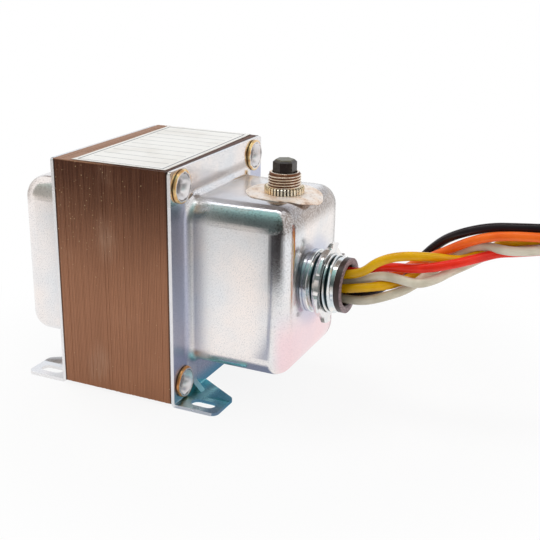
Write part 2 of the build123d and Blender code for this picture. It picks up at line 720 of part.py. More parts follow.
# Legend plate under the nut, left bare
with BuildPart() as legend_plate:
    with BuildSketch(Plane.XY.offset(cup_top)):
        with Locations((breaker_x, 0)):
            Ellipse(plate_lx / 2, plate_ly / 2)
            Circle(neck_hole_r, mode=Mode.SUBTRACT)
    extrude(amount=plate_t)
legend_plate.part.label = "legend_plate"
export_step(legend_plate.part, "parts/legend_plate.step")

# Fluted nut that clamps the breaker to the cup
with BuildPart() as breaker_nut:
    with BuildSketch(Plane.XY.offset(cup_top + plate_t)):
        with Locations((breaker_x, 0)):
            Circle(nut_r)
            with PolarLocations(nut_r + nut_flute_r / 2, nut_flutes):
                Circle(nut_flute_r, mode=Mode.SUBTRACT)
            Circle(nut_bore_r, mode=Mode.SUBTRACT)
    extrude(amount=nut_t)
breaker_nut.part.label = "breaker_nut"
export_step(breaker_nut.part, "parts/breaker_nut.step")

# Jumper wires from the breaker's terminals to the coil
with BuildPart() as jumper:
    with BuildLine() as jumper_line:
        FilletPolyline(*jumper_route, radius=bend_radii(jumper_route))
    with BuildSketch(Plane(jumper_line.wire() @ 0, z_dir=jumper_line.wire() % 0)):
        Circle(jumper_d / 2)
    sweep(path=jumper_line.wire())
report_cord("jumper", jumper.part, jumper_line.wire().length, jumper_d, bend_radii(jumper_route))

with BuildPart() as breaker_jumpers:
    add(jumper.part)
    add(jumper.part.mirror(Plane.XZ))
breaker_jumpers.part.label = "breaker_jumpers"
export_step(breaker_jumpers.part, "parts/breaker_jumpers.step")

# Leads
with BuildPart() as lead_yellow_1:
    with BuildLine() as yellow_1_line:
        FilletPolyline(*yellow_1_route, radius=bend_radii(yellow_1_route))
    with BuildSketch(Plane(yellow_1_line.wire() @ 0, z_dir=yellow_1_line.wire() % 0)):
        Circle(lead_d / 2)
    sweep(path=yellow_1_line.wire())
yellow_1_length = yellow_1_line.wire().length
report_cord("lead_yellow_1", lead_yellow_1.part, yellow_1_length, lead_d, bend_radii(yellow_1_route))
lead_yellow_1.part.label = "lead_yellow_1"
export_step(lead_yellow_1.part, "parts/lead_yellow_1.step")

with BuildPart() as lead_yellow_2:
    with BuildLine() as yellow_2_line:
        FilletPolyline(*yellow_2_route, radius=bend_radii(yellow_2_route))
    with BuildSketch(Plane(yellow_2_line.wire() @ 0, z_dir=yellow_2_line.wire() % 0)):
        Circle(lead_d / 2)
    sweep(path=yellow_2_line.wire())
yellow_2_length = yellow_2_line.wire().length
report_cord("lead_yellow_2", lead_yellow_2.part, yellow_2_length, lead_d, bend_radii(yellow_2_route))
lead_yellow_2.part.label = "lead_yellow_2"
export_step(lead_yellow_2.part, "parts/lead_yellow_2.step")

with BuildPart() as lead_white_1:
    with BuildLine() as white_1_line:
        FilletPolyline(*white_1_route, radius=bend_radii(white_1_route))
    with BuildSketch(Plane(white_1_line.wire() @ 0, z_dir=white_1_line.wire() % 0)):
        Circle(lead_d / 2)
    sweep(path=white_1_line.wire())
report_cord("lead_white_1", lead_white_1.part, white_1_line.wire().length, lead_d, bend_radii(white_1_route))
lead_white_1.part.label = "lead_white_1"
export_step(lead_white_1.part, "parts/lead_white_1.step")

with BuildPart() as lead_white_2:
    with BuildLine() as white_2_line:
        FilletPolyline(*white_2_route, radius=bend_radii(white_2_route))
    with BuildSketch(Plane(white_2_line.wire() @ 0, z_dir=white_2_line.wire() % 0)):
        Circle(lead_d / 2)
    sweep(path=white_2_line.wire())
report_cord("lead_white_2", lead_white_2.part, white_2_line.wire().length, lead_d, bend_radii(white_2_route))
lead_white_2.part.label = "lead_white_2"
export_step(lead_white_2.part, "parts/lead_white_2.step")

with BuildPart() as lead_red:
    with BuildLine() as red_line:
        FilletPolyline(*red_route, radius=bend_radii(red_route))
    with BuildSketch(Plane(red_line.wire() @ 0, z_dir=red_line.wire() % 0)):
        Circle(lead_d / 2)
    sweep(path=red_line.wire())
report_cord("lead_red", lead_red.part, red_line.wire().length, lead_d, bend_radii(red_route))
lead_red.part.label = "lead_red"
export_step(lead_red.part, "parts/lead_red.step")

with BuildPart() as lead_orange:
    with BuildLine() as orange_line:
        FilletPolyline(*orange_route, radius=bend_radii(orange_route))
    with BuildSketch(Plane(orange_line.wire() @ 0, z_dir=orange_line.wire() % 0)):
        Circle(lead_d / 2)
    sweep(path=orange_line.wire())
report_cord("lead_orange", lead_orange.part, orange_line.wire().length, lead_d, bend_radii(orange_route))
lead_orange.part.label = "lead_orange"
export_step(lead_orange.part, "parts/lead_orange.step")

with BuildPart() as lead_black:
    with BuildLine() as black_line:
        FilletPolyline(*black_route, radius=bend_radii(black_route))
    with BuildSketch(Plane(black_line.wire() @ 0, z_dir=black_line.wire() % 0)):
        Circle(lead_d / 2)
    sweep(path=black_line.wire())
report_cord("lead_black", lead_black.part, black_line.wire().length, lead_d, bend_radii(black_route))
lead_black.part.label = "lead_black"
export_step(lead_black.part, "parts/lead_black.step")

# Stripped conductor at the free end of each lead
with BuildPart() as lead_tips:
    for route in lead_routes:
        with BuildSketch(Plane(route[-1], z_dir=Vector(*route[-1]) - Vector(*route[-2]))):
            Circle(tip_r)
        extrude(amount=tip_l)
lead_tips.part.label = "lead_tips"
export_step(lead_tips.part, "parts/lead_tips.step")
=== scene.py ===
"""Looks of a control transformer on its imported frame: sheets, threads, leads, finishes and studio.

Metres, in the part's own frame: X along the core toward the hub, Y to the rear, Z up.
"""
import logging
import math
import random
from dataclasses import dataclass
from enum import Enum
from typing import Callable, Optional, Sequence, Union

import bmesh
import bpy
from mathutils import Matrix, Quaternion, Vector


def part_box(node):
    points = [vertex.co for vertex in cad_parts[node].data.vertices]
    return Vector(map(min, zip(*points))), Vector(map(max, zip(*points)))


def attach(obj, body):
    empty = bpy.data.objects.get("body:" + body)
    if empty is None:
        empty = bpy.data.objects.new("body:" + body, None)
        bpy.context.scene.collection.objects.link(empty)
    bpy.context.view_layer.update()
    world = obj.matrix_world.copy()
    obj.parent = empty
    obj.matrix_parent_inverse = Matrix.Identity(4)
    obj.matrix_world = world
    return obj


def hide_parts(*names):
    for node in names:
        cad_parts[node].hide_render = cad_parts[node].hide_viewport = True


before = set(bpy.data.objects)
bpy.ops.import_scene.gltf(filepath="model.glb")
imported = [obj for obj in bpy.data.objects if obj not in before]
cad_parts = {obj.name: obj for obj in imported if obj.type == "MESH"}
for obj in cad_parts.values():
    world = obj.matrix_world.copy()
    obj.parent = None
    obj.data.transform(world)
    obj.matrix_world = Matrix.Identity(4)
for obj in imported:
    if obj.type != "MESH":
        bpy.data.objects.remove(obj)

MM = 0.001
CORE_Z = 44.064 * MM
HUB_FACE = 62.75 * MM
CUP_TOP = 75.04 * MM
BREAKER_X = 50.3 * MM
STACK = 46.1 * MM
SHEETS = 72
SHEET_PITCH = STACK / SHEETS
WHITE = (1.0, 1.0, 1.0, 1.0)
LOG = logging.getLogger("control_transformer")

Colour = tuple[float, float, float, float]
Point = tuple[float, float, float]
# A spot is two distances in a plane; a zone is where a fade starts and ends.
Spot = tuple[float, float]
Zone = tuple[float, float]
Value = Union["Wire", float]
Key = Union[int, str]
Sockets = dict[Key, object]


def tone(red: float, green: float, blue: float) -> Colour:
    """Give the linear colour of a display colour.

    Args:
        red: Red from 0 to 255.
        green: Green from 0 to 255.
        blue: Blue from 0 to 255.

    Returns:
        The linear colour with full alpha.
    """
    shares = [part / 255 for part in (red, green, blue)]
    made = [s / 12.92 if s <= 0.04045 else ((s + 0.055) / 1.055) ** 2.4 for s in shares]
    return (made[0], made[1], made[2], 1.0)


class Wire:
    """A shader socket on which Python arithmetic adds Math nodes."""

    def __init__(self, graph: "Graph", socket: bpy.types.NodeSocket) -> None:
        """Hold one socket of a graph."""
        self.graph = graph
        self.socket = socket

    def math(self, operation: str, *values: Value) -> "Wire":
        """Add a Math node with these inputs, wires or numbers, and give its result."""
        return self.graph.node("ShaderNodeMath", {"operation": operation}, dict(enumerate(values)))

    def __add__(self, other: Value) -> "Wire":
        """Add a wire or a number."""
        return self.math("ADD", self, other)

    def __radd__(self, other: Value) -> "Wire":
        """Add to a number."""
        return self.math("ADD", other, self)

    def __sub__(self, other: Value) -> "Wire":
        """Take away a wire or a number."""
        return self.math("SUBTRACT", self, other)

    def __rsub__(self, other: Value) -> "Wire":
        """Take away from a number."""
        return self.math("SUBTRACT", other, self)

    def __mul__(self, other: Value) -> "Wire":
        """Multiply by a wire or a number."""
        return self.math("MULTIPLY", self, other)

    def __rmul__(self, other: Value) -> "Wire":
        """Multiply a number."""
        return self.math("MULTIPLY", other, self)

    def __truediv__(self, other: Value) -> "Wire":
        """Divide by a wire or a number."""
        return self.math("DIVIDE", self, other)

    def __abs__(self) -> "Wire":
        """Drop the sign."""
        return self.math("ABSOLUTE", self)

    def floor(self) -> "Wire":
        """Round down."""
        return self.math("FLOOR", self)

    def fract(self) -> "Wire":
        """Keep what follows the decimal point."""
        return self.math("FRACT", self)

    def root(self) -> "Wire":
        """Take the square root."""
        return self.math("SQRT", self)

    def above(self, other: Value) -> "Wire":
        """Give 1 where this is the greater, else 0."""
        return self.math("GREATER_THAN", self, other)

    def most(self, other: Value) -> "Wire":
        """Keep the greater of the two."""
        return self.math("MAXIMUM", self, other)

    def least(self, other: Value) -> "Wire":
        """Keep the lesser of the two."""
        return self.math("MINIMUM", self, other)

    def fade(self, start: float, end: float) -> "Wire":
        """Rise smoothly from 0 to 1.

        Args:
            start: Where the rise starts.
            end: Where it ends, which may be the lower number.

        Returns:
            A value from 0 to 1.
        """
        low, high = min(start, end), max(start, end)
        ends = (0.0, 1.0) if start < end else (1.0, 0.0)
        return self.graph.node(
            "ShaderNodeMapRange",
            {"interpolation_type": "SMOOTHSTEP"},
            {"Value": self, "From Min": low, "From Max": high, "To Min": ends[0], "To Max": ends[1]},
        )


class Graph:
    """A node tree that is filled from Python expressions."""

    def __init__(self, tree: bpy.types.NodeTree) -> None:
        """Take over a tree and clear it."""
        self.tree = tree
        tree.nodes.clear()

    def add(
        self, kind: str, settings: Optional[dict[str, object]] = None, inputs: Optional[Sockets] = None
    ) -> bpy.types.Node:
        """Add a node.

        Args:
            kind: The node's type.
            settings: Properties that are set before the sockets.
            inputs: Values or wires by socket name or number.

        Returns:
            The node.
        """
        made = self.tree.nodes.new(kind)
        for name, value in (settings or {}).items():
            setattr(made, name, value)
        for key, value in (inputs or {}).items():
            if isinstance(value, Wire):
                self.tree.links.new(value.socket, made.inputs[key])
            else:
                made.inputs[key].default_value = value
        return made

    def node(
        self,
        kind: str,
        settings: Optional[dict[str, object]] = None,
        inputs: Optional[Sockets] = None,
        out: Key = 0,
    ) -> Wire:
        """Add a node in the same way and give the output that is wanted."""
        return Wire(self, self.add(kind, settings, inputs).outputs[out])

    def place(self) -> Wire:
        """Give the point on the piece, in metres."""
        return self.node("ShaderNodeTexCoord", out="Object")

    def axes(self, point: Wire) -> tuple[Wire, Wire, Wire]:
        """Split a point into X, Y and Z."""
        outs = self.add("ShaderNodeSeparateXYZ", {}, {0: point}).outputs
        return Wire(self, outs[0]), Wire(self, outs[1]), Wire(self, outs[2])

    def drawn(self, point: Wire, scale: Point, turn: Point = (0.0, 0.0, 0.0)) -> Wire:
        """Stretch a point to counts per metre and turn it, so that a noise on it becomes a streak."""
        return self.node("ShaderNodeMapping", {}, {"Vector": point, "Scale": scale, "Rotation": turn})

    def noise(self, point: Wire, scale: float, detail: float = 3.0, rough: float = 0.55) -> Wire:
        """Add a cloudy noise.

        Args:
            point: Where it is read.
            scale: Its count per metre.
            detail: Its octaves.
            rough: How strong the finer ones are.

        Returns:
            A value around 0.5.
        """
        return self.node(
            "ShaderNodeTexNoise",
            {"noise_dimensions": "3D"},
            {"Vector": point, "Scale": scale, "Detail": detail, "Roughness": rough},
            "Fac",
        )

    def cells(self, point: Wire, scale: float, out: str = "Distance") -> Wire:
        """Add a cell pattern and give the Distance to a cell's middle, or the cell's Color."""
        return self.node("ShaderNodeTexVoronoi", {}, {"Vector": point, "Scale": scale}, out)

    def lot(self, number: Wire) -> Wire:
        """Draw a fixed random value from 0 to 1 for a number."""
        return self.node("ShaderNodeTexWhiteNoise", {"noise_dimensions": "1D"}, {"W": number}, "Value")

    def blend(self, share: Value, first: object, second: object) -> Wire:
        """Mix two colours or wires by the share of the second."""
        return self.node("ShaderNodeMix", {"data_type": "RGBA"}, {0: share, 6: first, 7: second}, 2)

    def bump(self, height: Wire, strength: Value, depth: float, under: Optional[Wire] = None) -> Wire:
        """Raise a surface.

        Args:
            height: The height in units of the depth.
            strength: How much of it counts.
            depth: One unit in metres.
            under: A normal that it is added to.

        Returns:
            The normal.
        """
        inputs: Sockets = {"Height": height, "Strength": strength, "Distance": depth}
        if under is not None:
            inputs["Normal"] = under
        return self.node("ShaderNodeBump", {}, inputs)

    def surface(self, sockets: Sockets) -> None:
        """End the graph in a Principled shader with these values or wires by name."""
        self.end(self.node("ShaderNodeBsdfPrincipled", {}, sockets))

    def end(self, shader: Wire, kind: str = "ShaderNodeOutputMaterial") -> None:
        """Link a shader to the tree's output node."""
        self.add(kind, {}, {"Surface": shader})


def blank(name: str) -> bpy.types.Material:
    """Make a material whose nodes are still to be filled.

    Args:
        name: The material's name.

    Returns:
        The material.
    """
    made = bpy.data.materials.new(name)
    made.use_nodes = True
    return made


def linked(name: str, data: bpy.types.ID) -> bpy.types.Object:
    """Put an object into the scene.

    Args:
        name: The object's name.
        data: Its mesh, curve, camera or lamp.

    Returns:
        The object.
    """
    made = bpy.data.objects.new(name, data)
    bpy.context.scene.collection.objects.link(made)
    return made


def meshed(name: str, shape: bmesh.types.BMesh) -> bpy.types.Mesh:
    """Turn a shape into a mesh.

    Args:
        name: The mesh's name.
        shape: The shape, which is freed.

    Returns:
        The mesh.
    """
    mesh = bpy.data.meshes.new(name)
    shape.to_mesh(mesh)
    shape.free()
    return mesh


class Along(Enum):
    """The axis that a turned piece runs along."""

    HUB = "hub"
    BREAKER = "breaker"

    def way(self) -> Vector:
        """Give the axis's direction."""
        return Vector((1, 0, 0)) if self is Along.HUB else Vector((0, 0, 1))

    def spot(self, run: float, out: float) -> Vector:
        """Give a point beside the axis.

        Args:
            run: The distance along it, in the part's frame.
            out: The distance from it.

        Returns:
            The point.
        """
        if self is Along.HUB:
            return Vector((run, 0, CORE_Z + out))
        return Vector((BREAKER_X + out, 0, run))

    def radius(self, graph: Graph, point: Wire) -> Wire:
        """Measure the distance to this axis.

        Args:
            graph: The finish's graph.
            point: The point on the piece.

        Returns:
            The distance in metres.
        """
        x, y, z = graph.axes(point)
        other = z - CORE_Z if self is Along.HUB else x - BREAKER_X
        return (y * y + other * other).root()


@dataclass(frozen=True)
class Finish:
    """A procedural finish; each kind fills its own node graph."""

    name: str

    def paint(self, graph: Graph) -> None:
        """Fill the graph with this finish's nodes."""
        raise NotImplementedError

    def material(self) -> bpy.types.Material:
        """Make the finish's material, or give the one already made.

        Returns:
            The material.
        """
        made = bpy.data.materials.get("look_" + self.name)
        if made is None:
            made = blank("look_" + self.name)
            self.paint(Graph(made.node_tree))
        return made


@dataclass(frozen=True)
class VarnishedSheets(Finish):
    """Brown dipped varnish over the edges of stacked core sheets."""

    dark: Colour = tone(80, 40, 16)
    brown: Colour = tone(176, 120, 87)
    pale: Colour = tone(196, 160, 134)
    speck: Colour = tone(224, 190, 142)
    seam_and_edge_shade: Colour = tone(34, 18, 12)
    crown: Colour = tone(178, 130, 98)
    smudges: tuple[Spot, ...] = ((-2.3 * MM, 60.0 * MM), (-7.0 * MM, 10.6 * MM))
    speckled: Spot = (-12 * MM, 70 * MM)
    floor_reflection_z: Zone = (92 * MM, 36 * MM)
    edge_shade_x: Zone = (22.2 * MM, 22.75 * MM)
    top_light_z: Zone = (86.5 * MM, 86.75 * MM)
    top_light_x: Zone = (6 * MM, -12 * MM)
    smudge: Zone = (6 * MM, 0.5 * MM)
    speckle: Zone = (26 * MM, 6 * MM)
    dots: float = 1250

    def paint(self, graph: Graph) -> None:
        """Lay brown varnish with sheet seams, pale smudges and a few specks, with painted light and shade:
        paler toward the bottom and on the top face, darker on the outermost sheets.

        Args:
            graph: The empty graph.
        """
        point = graph.place()
        x, _, z = graph.axes(point)
        number = x / SHEET_PITCH
        sheet = graph.lot(number.floor() + 0.5)
        between = abs(number.fract() - 0.5).fade(0.34, 0.5)
        line = graph.noise(graph.drawn(point, (3400, 240, 130)), 1.0, 3, 0.6)
        grit = graph.noise(point, 2300, 2, 0.7)
        cloud = graph.noise(point, 52, 4)
        drift = 0.26 * (cloud - 0.5) + 0.12 * (sheet - 0.5)
        # Paler brown toward the bottom: painted reflection of the pale floor in the varnish.
        share = 0.9 * z.fade(*self.floor_reflection_z) + 0.22 * (line - 0.5) + 0.3 * (grit - 0.5) + drift
        base = graph.blend(share.most(0.0).least(1.0), self.dark, self.brown)
        # The outermost sheets, against the bells' flanges, go dark: painted shade, mixed in with the real
        # dark joints between sheets.
        edge_shade = abs(x).fade(*self.edge_shade_x)
        base = graph.blend((0.34 * between + 0.75 * edge_shade).least(0.82), base, self.seam_and_edge_shade)
        # The top face is paler, more so toward the left: painted light from above.
        crown = z.fade(*self.top_light_z) * x.fade(*self.top_light_x)
        base = graph.blend(0.8 * crown * (1.0 - 0.6 * between), base, self.crown)
        smear = 0.16 * cloud.fade(0.56, 0.72) * line.fade(0.4, 0.66)
        for across, up in self.smudges:
            aside, over = x - across, (z - up) * 0.6
            away = (aside * aside + over * over).root() + (cloud - 0.5) * 9 * MM
            smear = smear + 0.3 * away.fade(*self.smudge) * line.fade(0.3, 0.6)
        base = graph.blend(smear.least(0.6), base, self.pale)
        aside, over = x - self.speckled[0], z - self.speckled[1]
        near = (aside * aside + over * over).root().fade(*self.speckle)
        dots = (graph.cells(point, self.dots) + 0.9 * (grit - 0.5)).fade(0.26, 0.08)
        chosen = graph.axes(graph.cells(point, self.dots, "Color"))[0].above(0.982 - 0.2 * near)
        base = graph.blend(0.65 * dots * chosen, base, self.speck)
        gloss = 0.44 + 0.16 * (line - 0.5) + 0.14 * (cloud - 0.5)
        height = 0.6 * (1.0 - between) + 0.2 * line + 0.2 * grit
        rise = graph.bump(height, 0.4, 0.07 * MM, graph.bump(cloud, 0.2, 0.3 * MM))
        graph.surface({
            "Base Color": base, "Roughness": gloss, "Normal": rise,
            "Coat Weight": 0.03, "Coat Roughness": 0.3, "Specular IOR Level": 0.2,
        })


@dataclass(frozen=True)
class ZincPlate(Finish):
    """Bright plated sheet steel with a faint cool and warm bloom, and painted reflections, shade and a
    highlight in set places.
    """

    cool: Colour = tone(228, 230, 233)
    warm: Colour = tone(247, 238, 233)
    mark: Colour = tone(176, 177, 184)
    teal: Colour = tone(124, 212, 224)
    shade_and_reflection_lavender: Colour = tone(164, 170, 202)
    wear_and_painted_reflection: Colour = tone(124, 108, 98)
    pink_reflection: Colour = tone(250, 208, 216)
    top_reflection: Colour = tone(178, 176, 194)
    sheared_edge_highlight: Colour = tone(250, 249, 250)
    rough: float = 0.19
    wave: float = 0.06
    half: float = 25.38 * MM
    high: float = 30.98 * MM
    plain_face: float = -47.45 * MM
    bow_reach: float = 16.5 * MM
    bow: float = 8.5
    bow_x: Zone = (27 * MM, 31 * MM)
    end_bend: Zone = (6.5 * MM, 2.5 * MM)
    side_bend: Zone = (7 * MM, 2.5 * MM)
    dark_end_reflection_z: Zone = (64 * MM, 70 * MM)
    close_x: Zone = (38 * MM, 27 * MM)
    close_y: Zone = (17.5 * MM, 21 * MM)
    close_z: Zone = (75.2 * MM, 74.6 * MM)
    strip_shade_middle: float = 24.5 * MM
    strip_shade_x: Zone = (2.9 * MM, 0.9 * MM)
    strip_shade_y: Zone = (25.4 * MM, 26.6 * MM)
    strip_shade_z: Zone = (77 * MM, 74 * MM)
    flat_x: Zone = (26 * MM, 25 * MM)
    peeled_z: Zone = (40 * MM, 66 * MM)
    flange_reflection_low: Zone = (76.4 * MM, 77.6 * MM)
    flange_reflection_high: Zone = (81 * MM, 78.6 * MM)
    flange_reflection_y: Zone = (26 * MM, 22 * MM)
    top_reflection_x: Zone = (27 * MM, 31 * MM)
    top_reflection_y: Zone = (1 * MM, -20 * MM)
    top_reflection_z: Zone = (73.2 * MM, 74.6 * MM)
    pink_reflection_x: Zone = (57 * MM, 61 * MM)
    pink_reflection_z: Zone = (42 * MM, 26 * MM)
    hub_reflection_out: Zone = (19 * MM, 12 * MM)
    hub_reflection_x: Zone = (60 * MM, 62 * MM)
    foot_reflection_x: Zone = (14 * MM, 24 * MM)
    foot_reflection_y: Zone = (-27 * MM, -33 * MM)
    foot_reflection_z: Zone = (8 * MM, 2 * MM)
    shelf_start: Zone = (25.5 * MM, 27 * MM)
    shelf_end: Zone = (54 * MM, 36 * MM)
    shelf_z: Zone = (73 * MM, 74.6 * MM)
    edge_highlight_y: Zone = (35.4 * MM, 35.62 * MM)

    def bowed(self, graph: Graph, point: Wire) -> Wire:
        """Let the cups' walls bow a little before their bends.

        Args:
            graph: The finish's graph.
            point: The point on the bell.

        Returns:
            The height of the bow in metres.
        """
        x, y, _ = graph.axes(point)
        end = (self.bow_reach - (HUB_FACE - x).least(x - self.plain_face).most(0.0)).most(0.0)
        side = (self.bow_reach - (self.half - abs(y)).most(0.0)).most(0.0)
        return -self.bow * (end * end) - self.bow * (side * side)

    def bends(self, graph: Graph, point: Wire) -> tuple[Wire, Wire]:
        """Find the rounded edges of the two cups.

        Args:
            graph: The finish's graph.
            point: The point on the bell.

        Returns:
            1 on any bend, and 1 on the upper end bends, where a dark reflection is painted; else 0.
        """
        x, y, z = graph.axes(point)
        end = (HUB_FACE - x).least(x - self.plain_face).fade(*self.end_bend)
        side = (self.half - abs(y)).fade(*self.side_bend)
        roof = (self.high - abs(z - CORE_Z)).fade(*self.side_bend)
        return (end * side).most(side * roof).most(end * roof), end * z.fade(*self.dark_end_reflection_z)

    def paint(self, graph: Graph) -> None:
        """Lay plating with bloom, grain, rub marks and peel on the bends, with painted reflections and shade
        on the flange, cup top, end wall, feet and round the hub, and a painted highlight on the sheared
        edges.

        Args:
            graph: The empty graph.
        """
        point = graph.place()
        x, y, z = graph.axes(point)
        bloom = graph.noise(point, 38, 3)
        grain = graph.noise(point, 2400, 2)
        peel = graph.noise(point, 1700, 3, 0.6)
        rub = graph.noise(graph.drawn(point, (260, 38, 1900), (0.5, 0.3, 0.2)), 1.0, 4, 0.7)
        scuff = rub.fade(0.66, 0.72) * bloom.fade(0.44, 0.58)
        bend, dark_end_reflection = self.bends(graph, point)
        close = abs(y).fade(*self.close_y) * abs(x).fade(*self.close_x) * z.fade(*self.close_z)
        # The hub bell's flange beside the cup's walls, below its top: painted shade with a reflected lavender
        # tint.
        strip = abs(x - self.strip_shade_middle).fade(*self.strip_shade_x) * abs(y).fade(*self.strip_shade_y)
        strip = strip * z.fade(*self.strip_shade_z)
        base = graph.blend(bloom.fade(0.3, 0.7), self.cool, self.warm)
        base = graph.blend((grain.fade(0.5, 0.72) * 0.45 + scuff * 0.25).least(1.0), base, self.mark)
        flat = abs(x).fade(*self.flat_x)
        base = graph.blend(0.3 * flat * grain.fade(0.44, 0.6), base, self.mark)
        worn = 0.3 * bend * z.fade(*self.peeled_z) * peel.fade(0.5, 0.66)
        # The upper end bends take the dark colour strongly: painted dark reflection, mottled by the peel
        # noise.
        worn = worn + dark_end_reflection * (0.46 + 0.4 * peel.fade(0.4, 0.62))
        # A dark band on the flange just above the cup's top: painted reflection of the cup's top, laid with
        # the peel wear on the bends and the end bends' painted reflection.
        band = flat * z.fade(*self.flange_reflection_low) * z.fade(*self.flange_reflection_high) * abs(y).fade(*self.flange_reflection_y)
        base = graph.blend((worn + 0.5 * band).least(0.8), base, self.wear_and_painted_reflection)
        base = graph.blend(0.6 * strip, base, self.shade_and_reflection_lavender)
        # The front part of the cup's top takes a grey-lavender tint: painted reflection.
        top_reflection = x.fade(*self.top_reflection_x) * z.fade(*self.top_reflection_z) * y.fade(*self.top_reflection_y)
        base = graph.blend(0.3 * top_reflection, base, self.top_reflection)
        # The lower part of the end wall is tinted pink: painted reflection.
        base = graph.blend(0.6 * x.fade(*self.pink_reflection_x) * z.fade(*self.pink_reflection_z), base, self.pink_reflection)
        # A lavender ring round the hub on the end wall: painted reflection of the hub.
        hub_reflection = Along.HUB.radius(graph, point).fade(*self.hub_reflection_out) * x.fade(*self.hub_reflection_x)
        base = graph.blend(0.45 * hub_reflection, base, self.shade_and_reflection_lavender)
        # The hub bell's feet are tinted teal, less toward the front: painted reflection.
        foot = z.fade(*self.foot_reflection_z) * x.fade(*self.foot_reflection_x) * (1.0 - 0.5 * y.fade(*self.foot_reflection_y))
        base = graph.blend(foot * (0.55 + 0.5 * bloom), base, self.teal)
        gloss = self.rough + 0.06 * (bloom - 0.5) + 0.16 * (grain - 0.5)
        gloss = gloss + 0.1 * scuff + 0.2 * close - 0.05 * bend
        swell = graph.noise(point, 62, 2)
        fine = graph.bump(grain, 0.12, 0.03 * MM, graph.bump(peel * bend, 0.3, 0.06 * MM))
        rise = graph.bump(swell, self.wave, 1.2 * MM, fine)
        rise = graph.bump(self.bowed(graph, point), abs(x).fade(*self.bow_x), 1.0, rise)
        shelf = z.fade(*self.shelf_z) * x.fade(*self.shelf_end) * x.fade(*self.shelf_start)
        # The sheet's outer edges are laid near white and half metallic: the bare sheared edge with a painted
        # highlight.
        cut = abs(y).fade(*self.edge_highlight_y)
        base = graph.blend(0.85 * cut, base, self.sheared_edge_highlight)
        metal = 1.0 - 0.5 * shelf.most(cut)
        graph.surface({"Base Color": base, "Metallic": metal, "Roughness": gloss, "Normal": rise})


@dataclass(frozen=True)
class TurnedMetal(Finish):
    """Turned or stamped metal, darker toward its thread roots or flutes with grime and painted shade."""

    along: Along = Along.HUB
    base: Colour = tone(214, 216, 218)
    worn: Colour = tone(240, 236, 226)
    grime_and_shade: Colour = tone(70, 66, 62)
    root: float = 9.8 * MM
    crest: float = 10.7 * MM
    rough: float = 0.2
    grime_and_shade_share: float = 0.6
    metal: float = 1.0
    clean: float = 1.0

    def paint(self, graph: Graph) -> None:
        """Lay metal that is bright on its crests and dull and dark in its roots, with grime and painted
        shade.

        Args:
            graph: The empty graph.
        """
        point = graph.place()
        out = self.along.radius(graph, point)
        bloom = graph.noise(point, 180, 3)
        grain = graph.noise(point, 3000, 3)
        height = self.crest - self.root
        deep = out.fade(self.root + 0.8 * height, self.root + 0.1 * height)
        run = graph.axes(point)[0 if self.along is Along.HUB else 2]
        deep = deep * run.fade(self.clean - 0.02 * MM, self.clean - 0.12 * MM)
        shell = graph.blend(bloom.fade(0.35, 0.65), self.base, self.worn)
        # The roots darken toward one colour: grime and painted shade in the grooves.
        base = graph.blend((deep * (self.grime_and_shade_share + 0.5 * bloom)).least(1.0), shell, self.grime_and_shade)
        gloss = self.rough + 0.25 * deep + 0.18 * (grain - 0.5) + 0.1 * (bloom - 0.5)
        rise = graph.bump(grain, 0.18, 0.04 * MM, graph.bump(bloom, 0.12, 0.35 * MM))
        graph.surface({"Base Color": base, "Metallic": self.metal, "Roughness": gloss, "Normal": rise})


@dataclass(frozen=True)
class EyeletBrass(Finish):
    """Rolled eyelet: a brass edge round a tinned funnel."""

    across: float = 28.576 * MM
    up: float = 36.564 * MM
    lip: float = 4.35 * MM
    brass: Colour = tone(254, 220, 156)
    copper: Colour = tone(234, 182, 122)
    lower_tint: Colour = tone(198, 122, 62)
    tin: Colour = tone(236, 232, 232)
    crease_and_rim_shade: Colour = tone(62, 48, 40)
    fold: float = 4.7 * MM
    rim_shade_x: Zone = (24.9 * MM, 24.3 * MM)
    rim_shade_out: Zone = (4.9 * MM, 5.7 * MM)
    lower_tint_z: Zone = (CORE_Z, 20 * MM)

    def paint(self, graph: Graph) -> None:
        """Lay tin inside the lip, brass outside it, and painted shade in the crease and round the rim's foot
        on the flange.

        Args:
            graph: The empty graph.
        """
        point = graph.place()
        x, y, z = graph.axes(point)
        side = abs(y) - self.across
        rise = abs(z - CORE_Z) - self.up
        out = (side * side + rise * rise).root()
        rag = graph.noise(point, 420, 3)
        grain = graph.noise(point, 2600, 3)
        edge = (out + (rag - 0.5) * 1.1 * MM).fade(self.lip + 0.75 * MM, self.lip + 1.1 * MM)
        metal = graph.blend(rag.fade(0.42, 0.62), self.brass, self.copper)
        # The lower eyelets are tinted darker orange-brown.
        metal = graph.blend(0.75 * z.fade(*self.lower_tint_z), metal, self.lower_tint)
        base = graph.blend(edge, self.tin, metal)
        # A dark line in the fold and round the rim where it meets the flange: painted shade.
        crease = (abs(out - self.fold) + (rag - 0.36) * 1.2 * MM).fade(0.44 * MM, 0.1 * MM)
        under = abs(x).fade(*self.rim_shade_x) * out.fade(*self.rim_shade_out)
        base = graph.blend((0.8 * crease + 0.8 * under).least(0.92), base, self.crease_and_rim_shade)
        gloss = 0.32 + 0.2 * (grain - 0.5) + 0.25 * crease
        normal = graph.bump(grain, 0.2, 0.05 * MM, graph.bump(rag, 0.1, 0.4 * MM))
        graph.surface({"Base Color": base, "Metallic": 0.65, "Roughness": gloss, "Normal": normal})


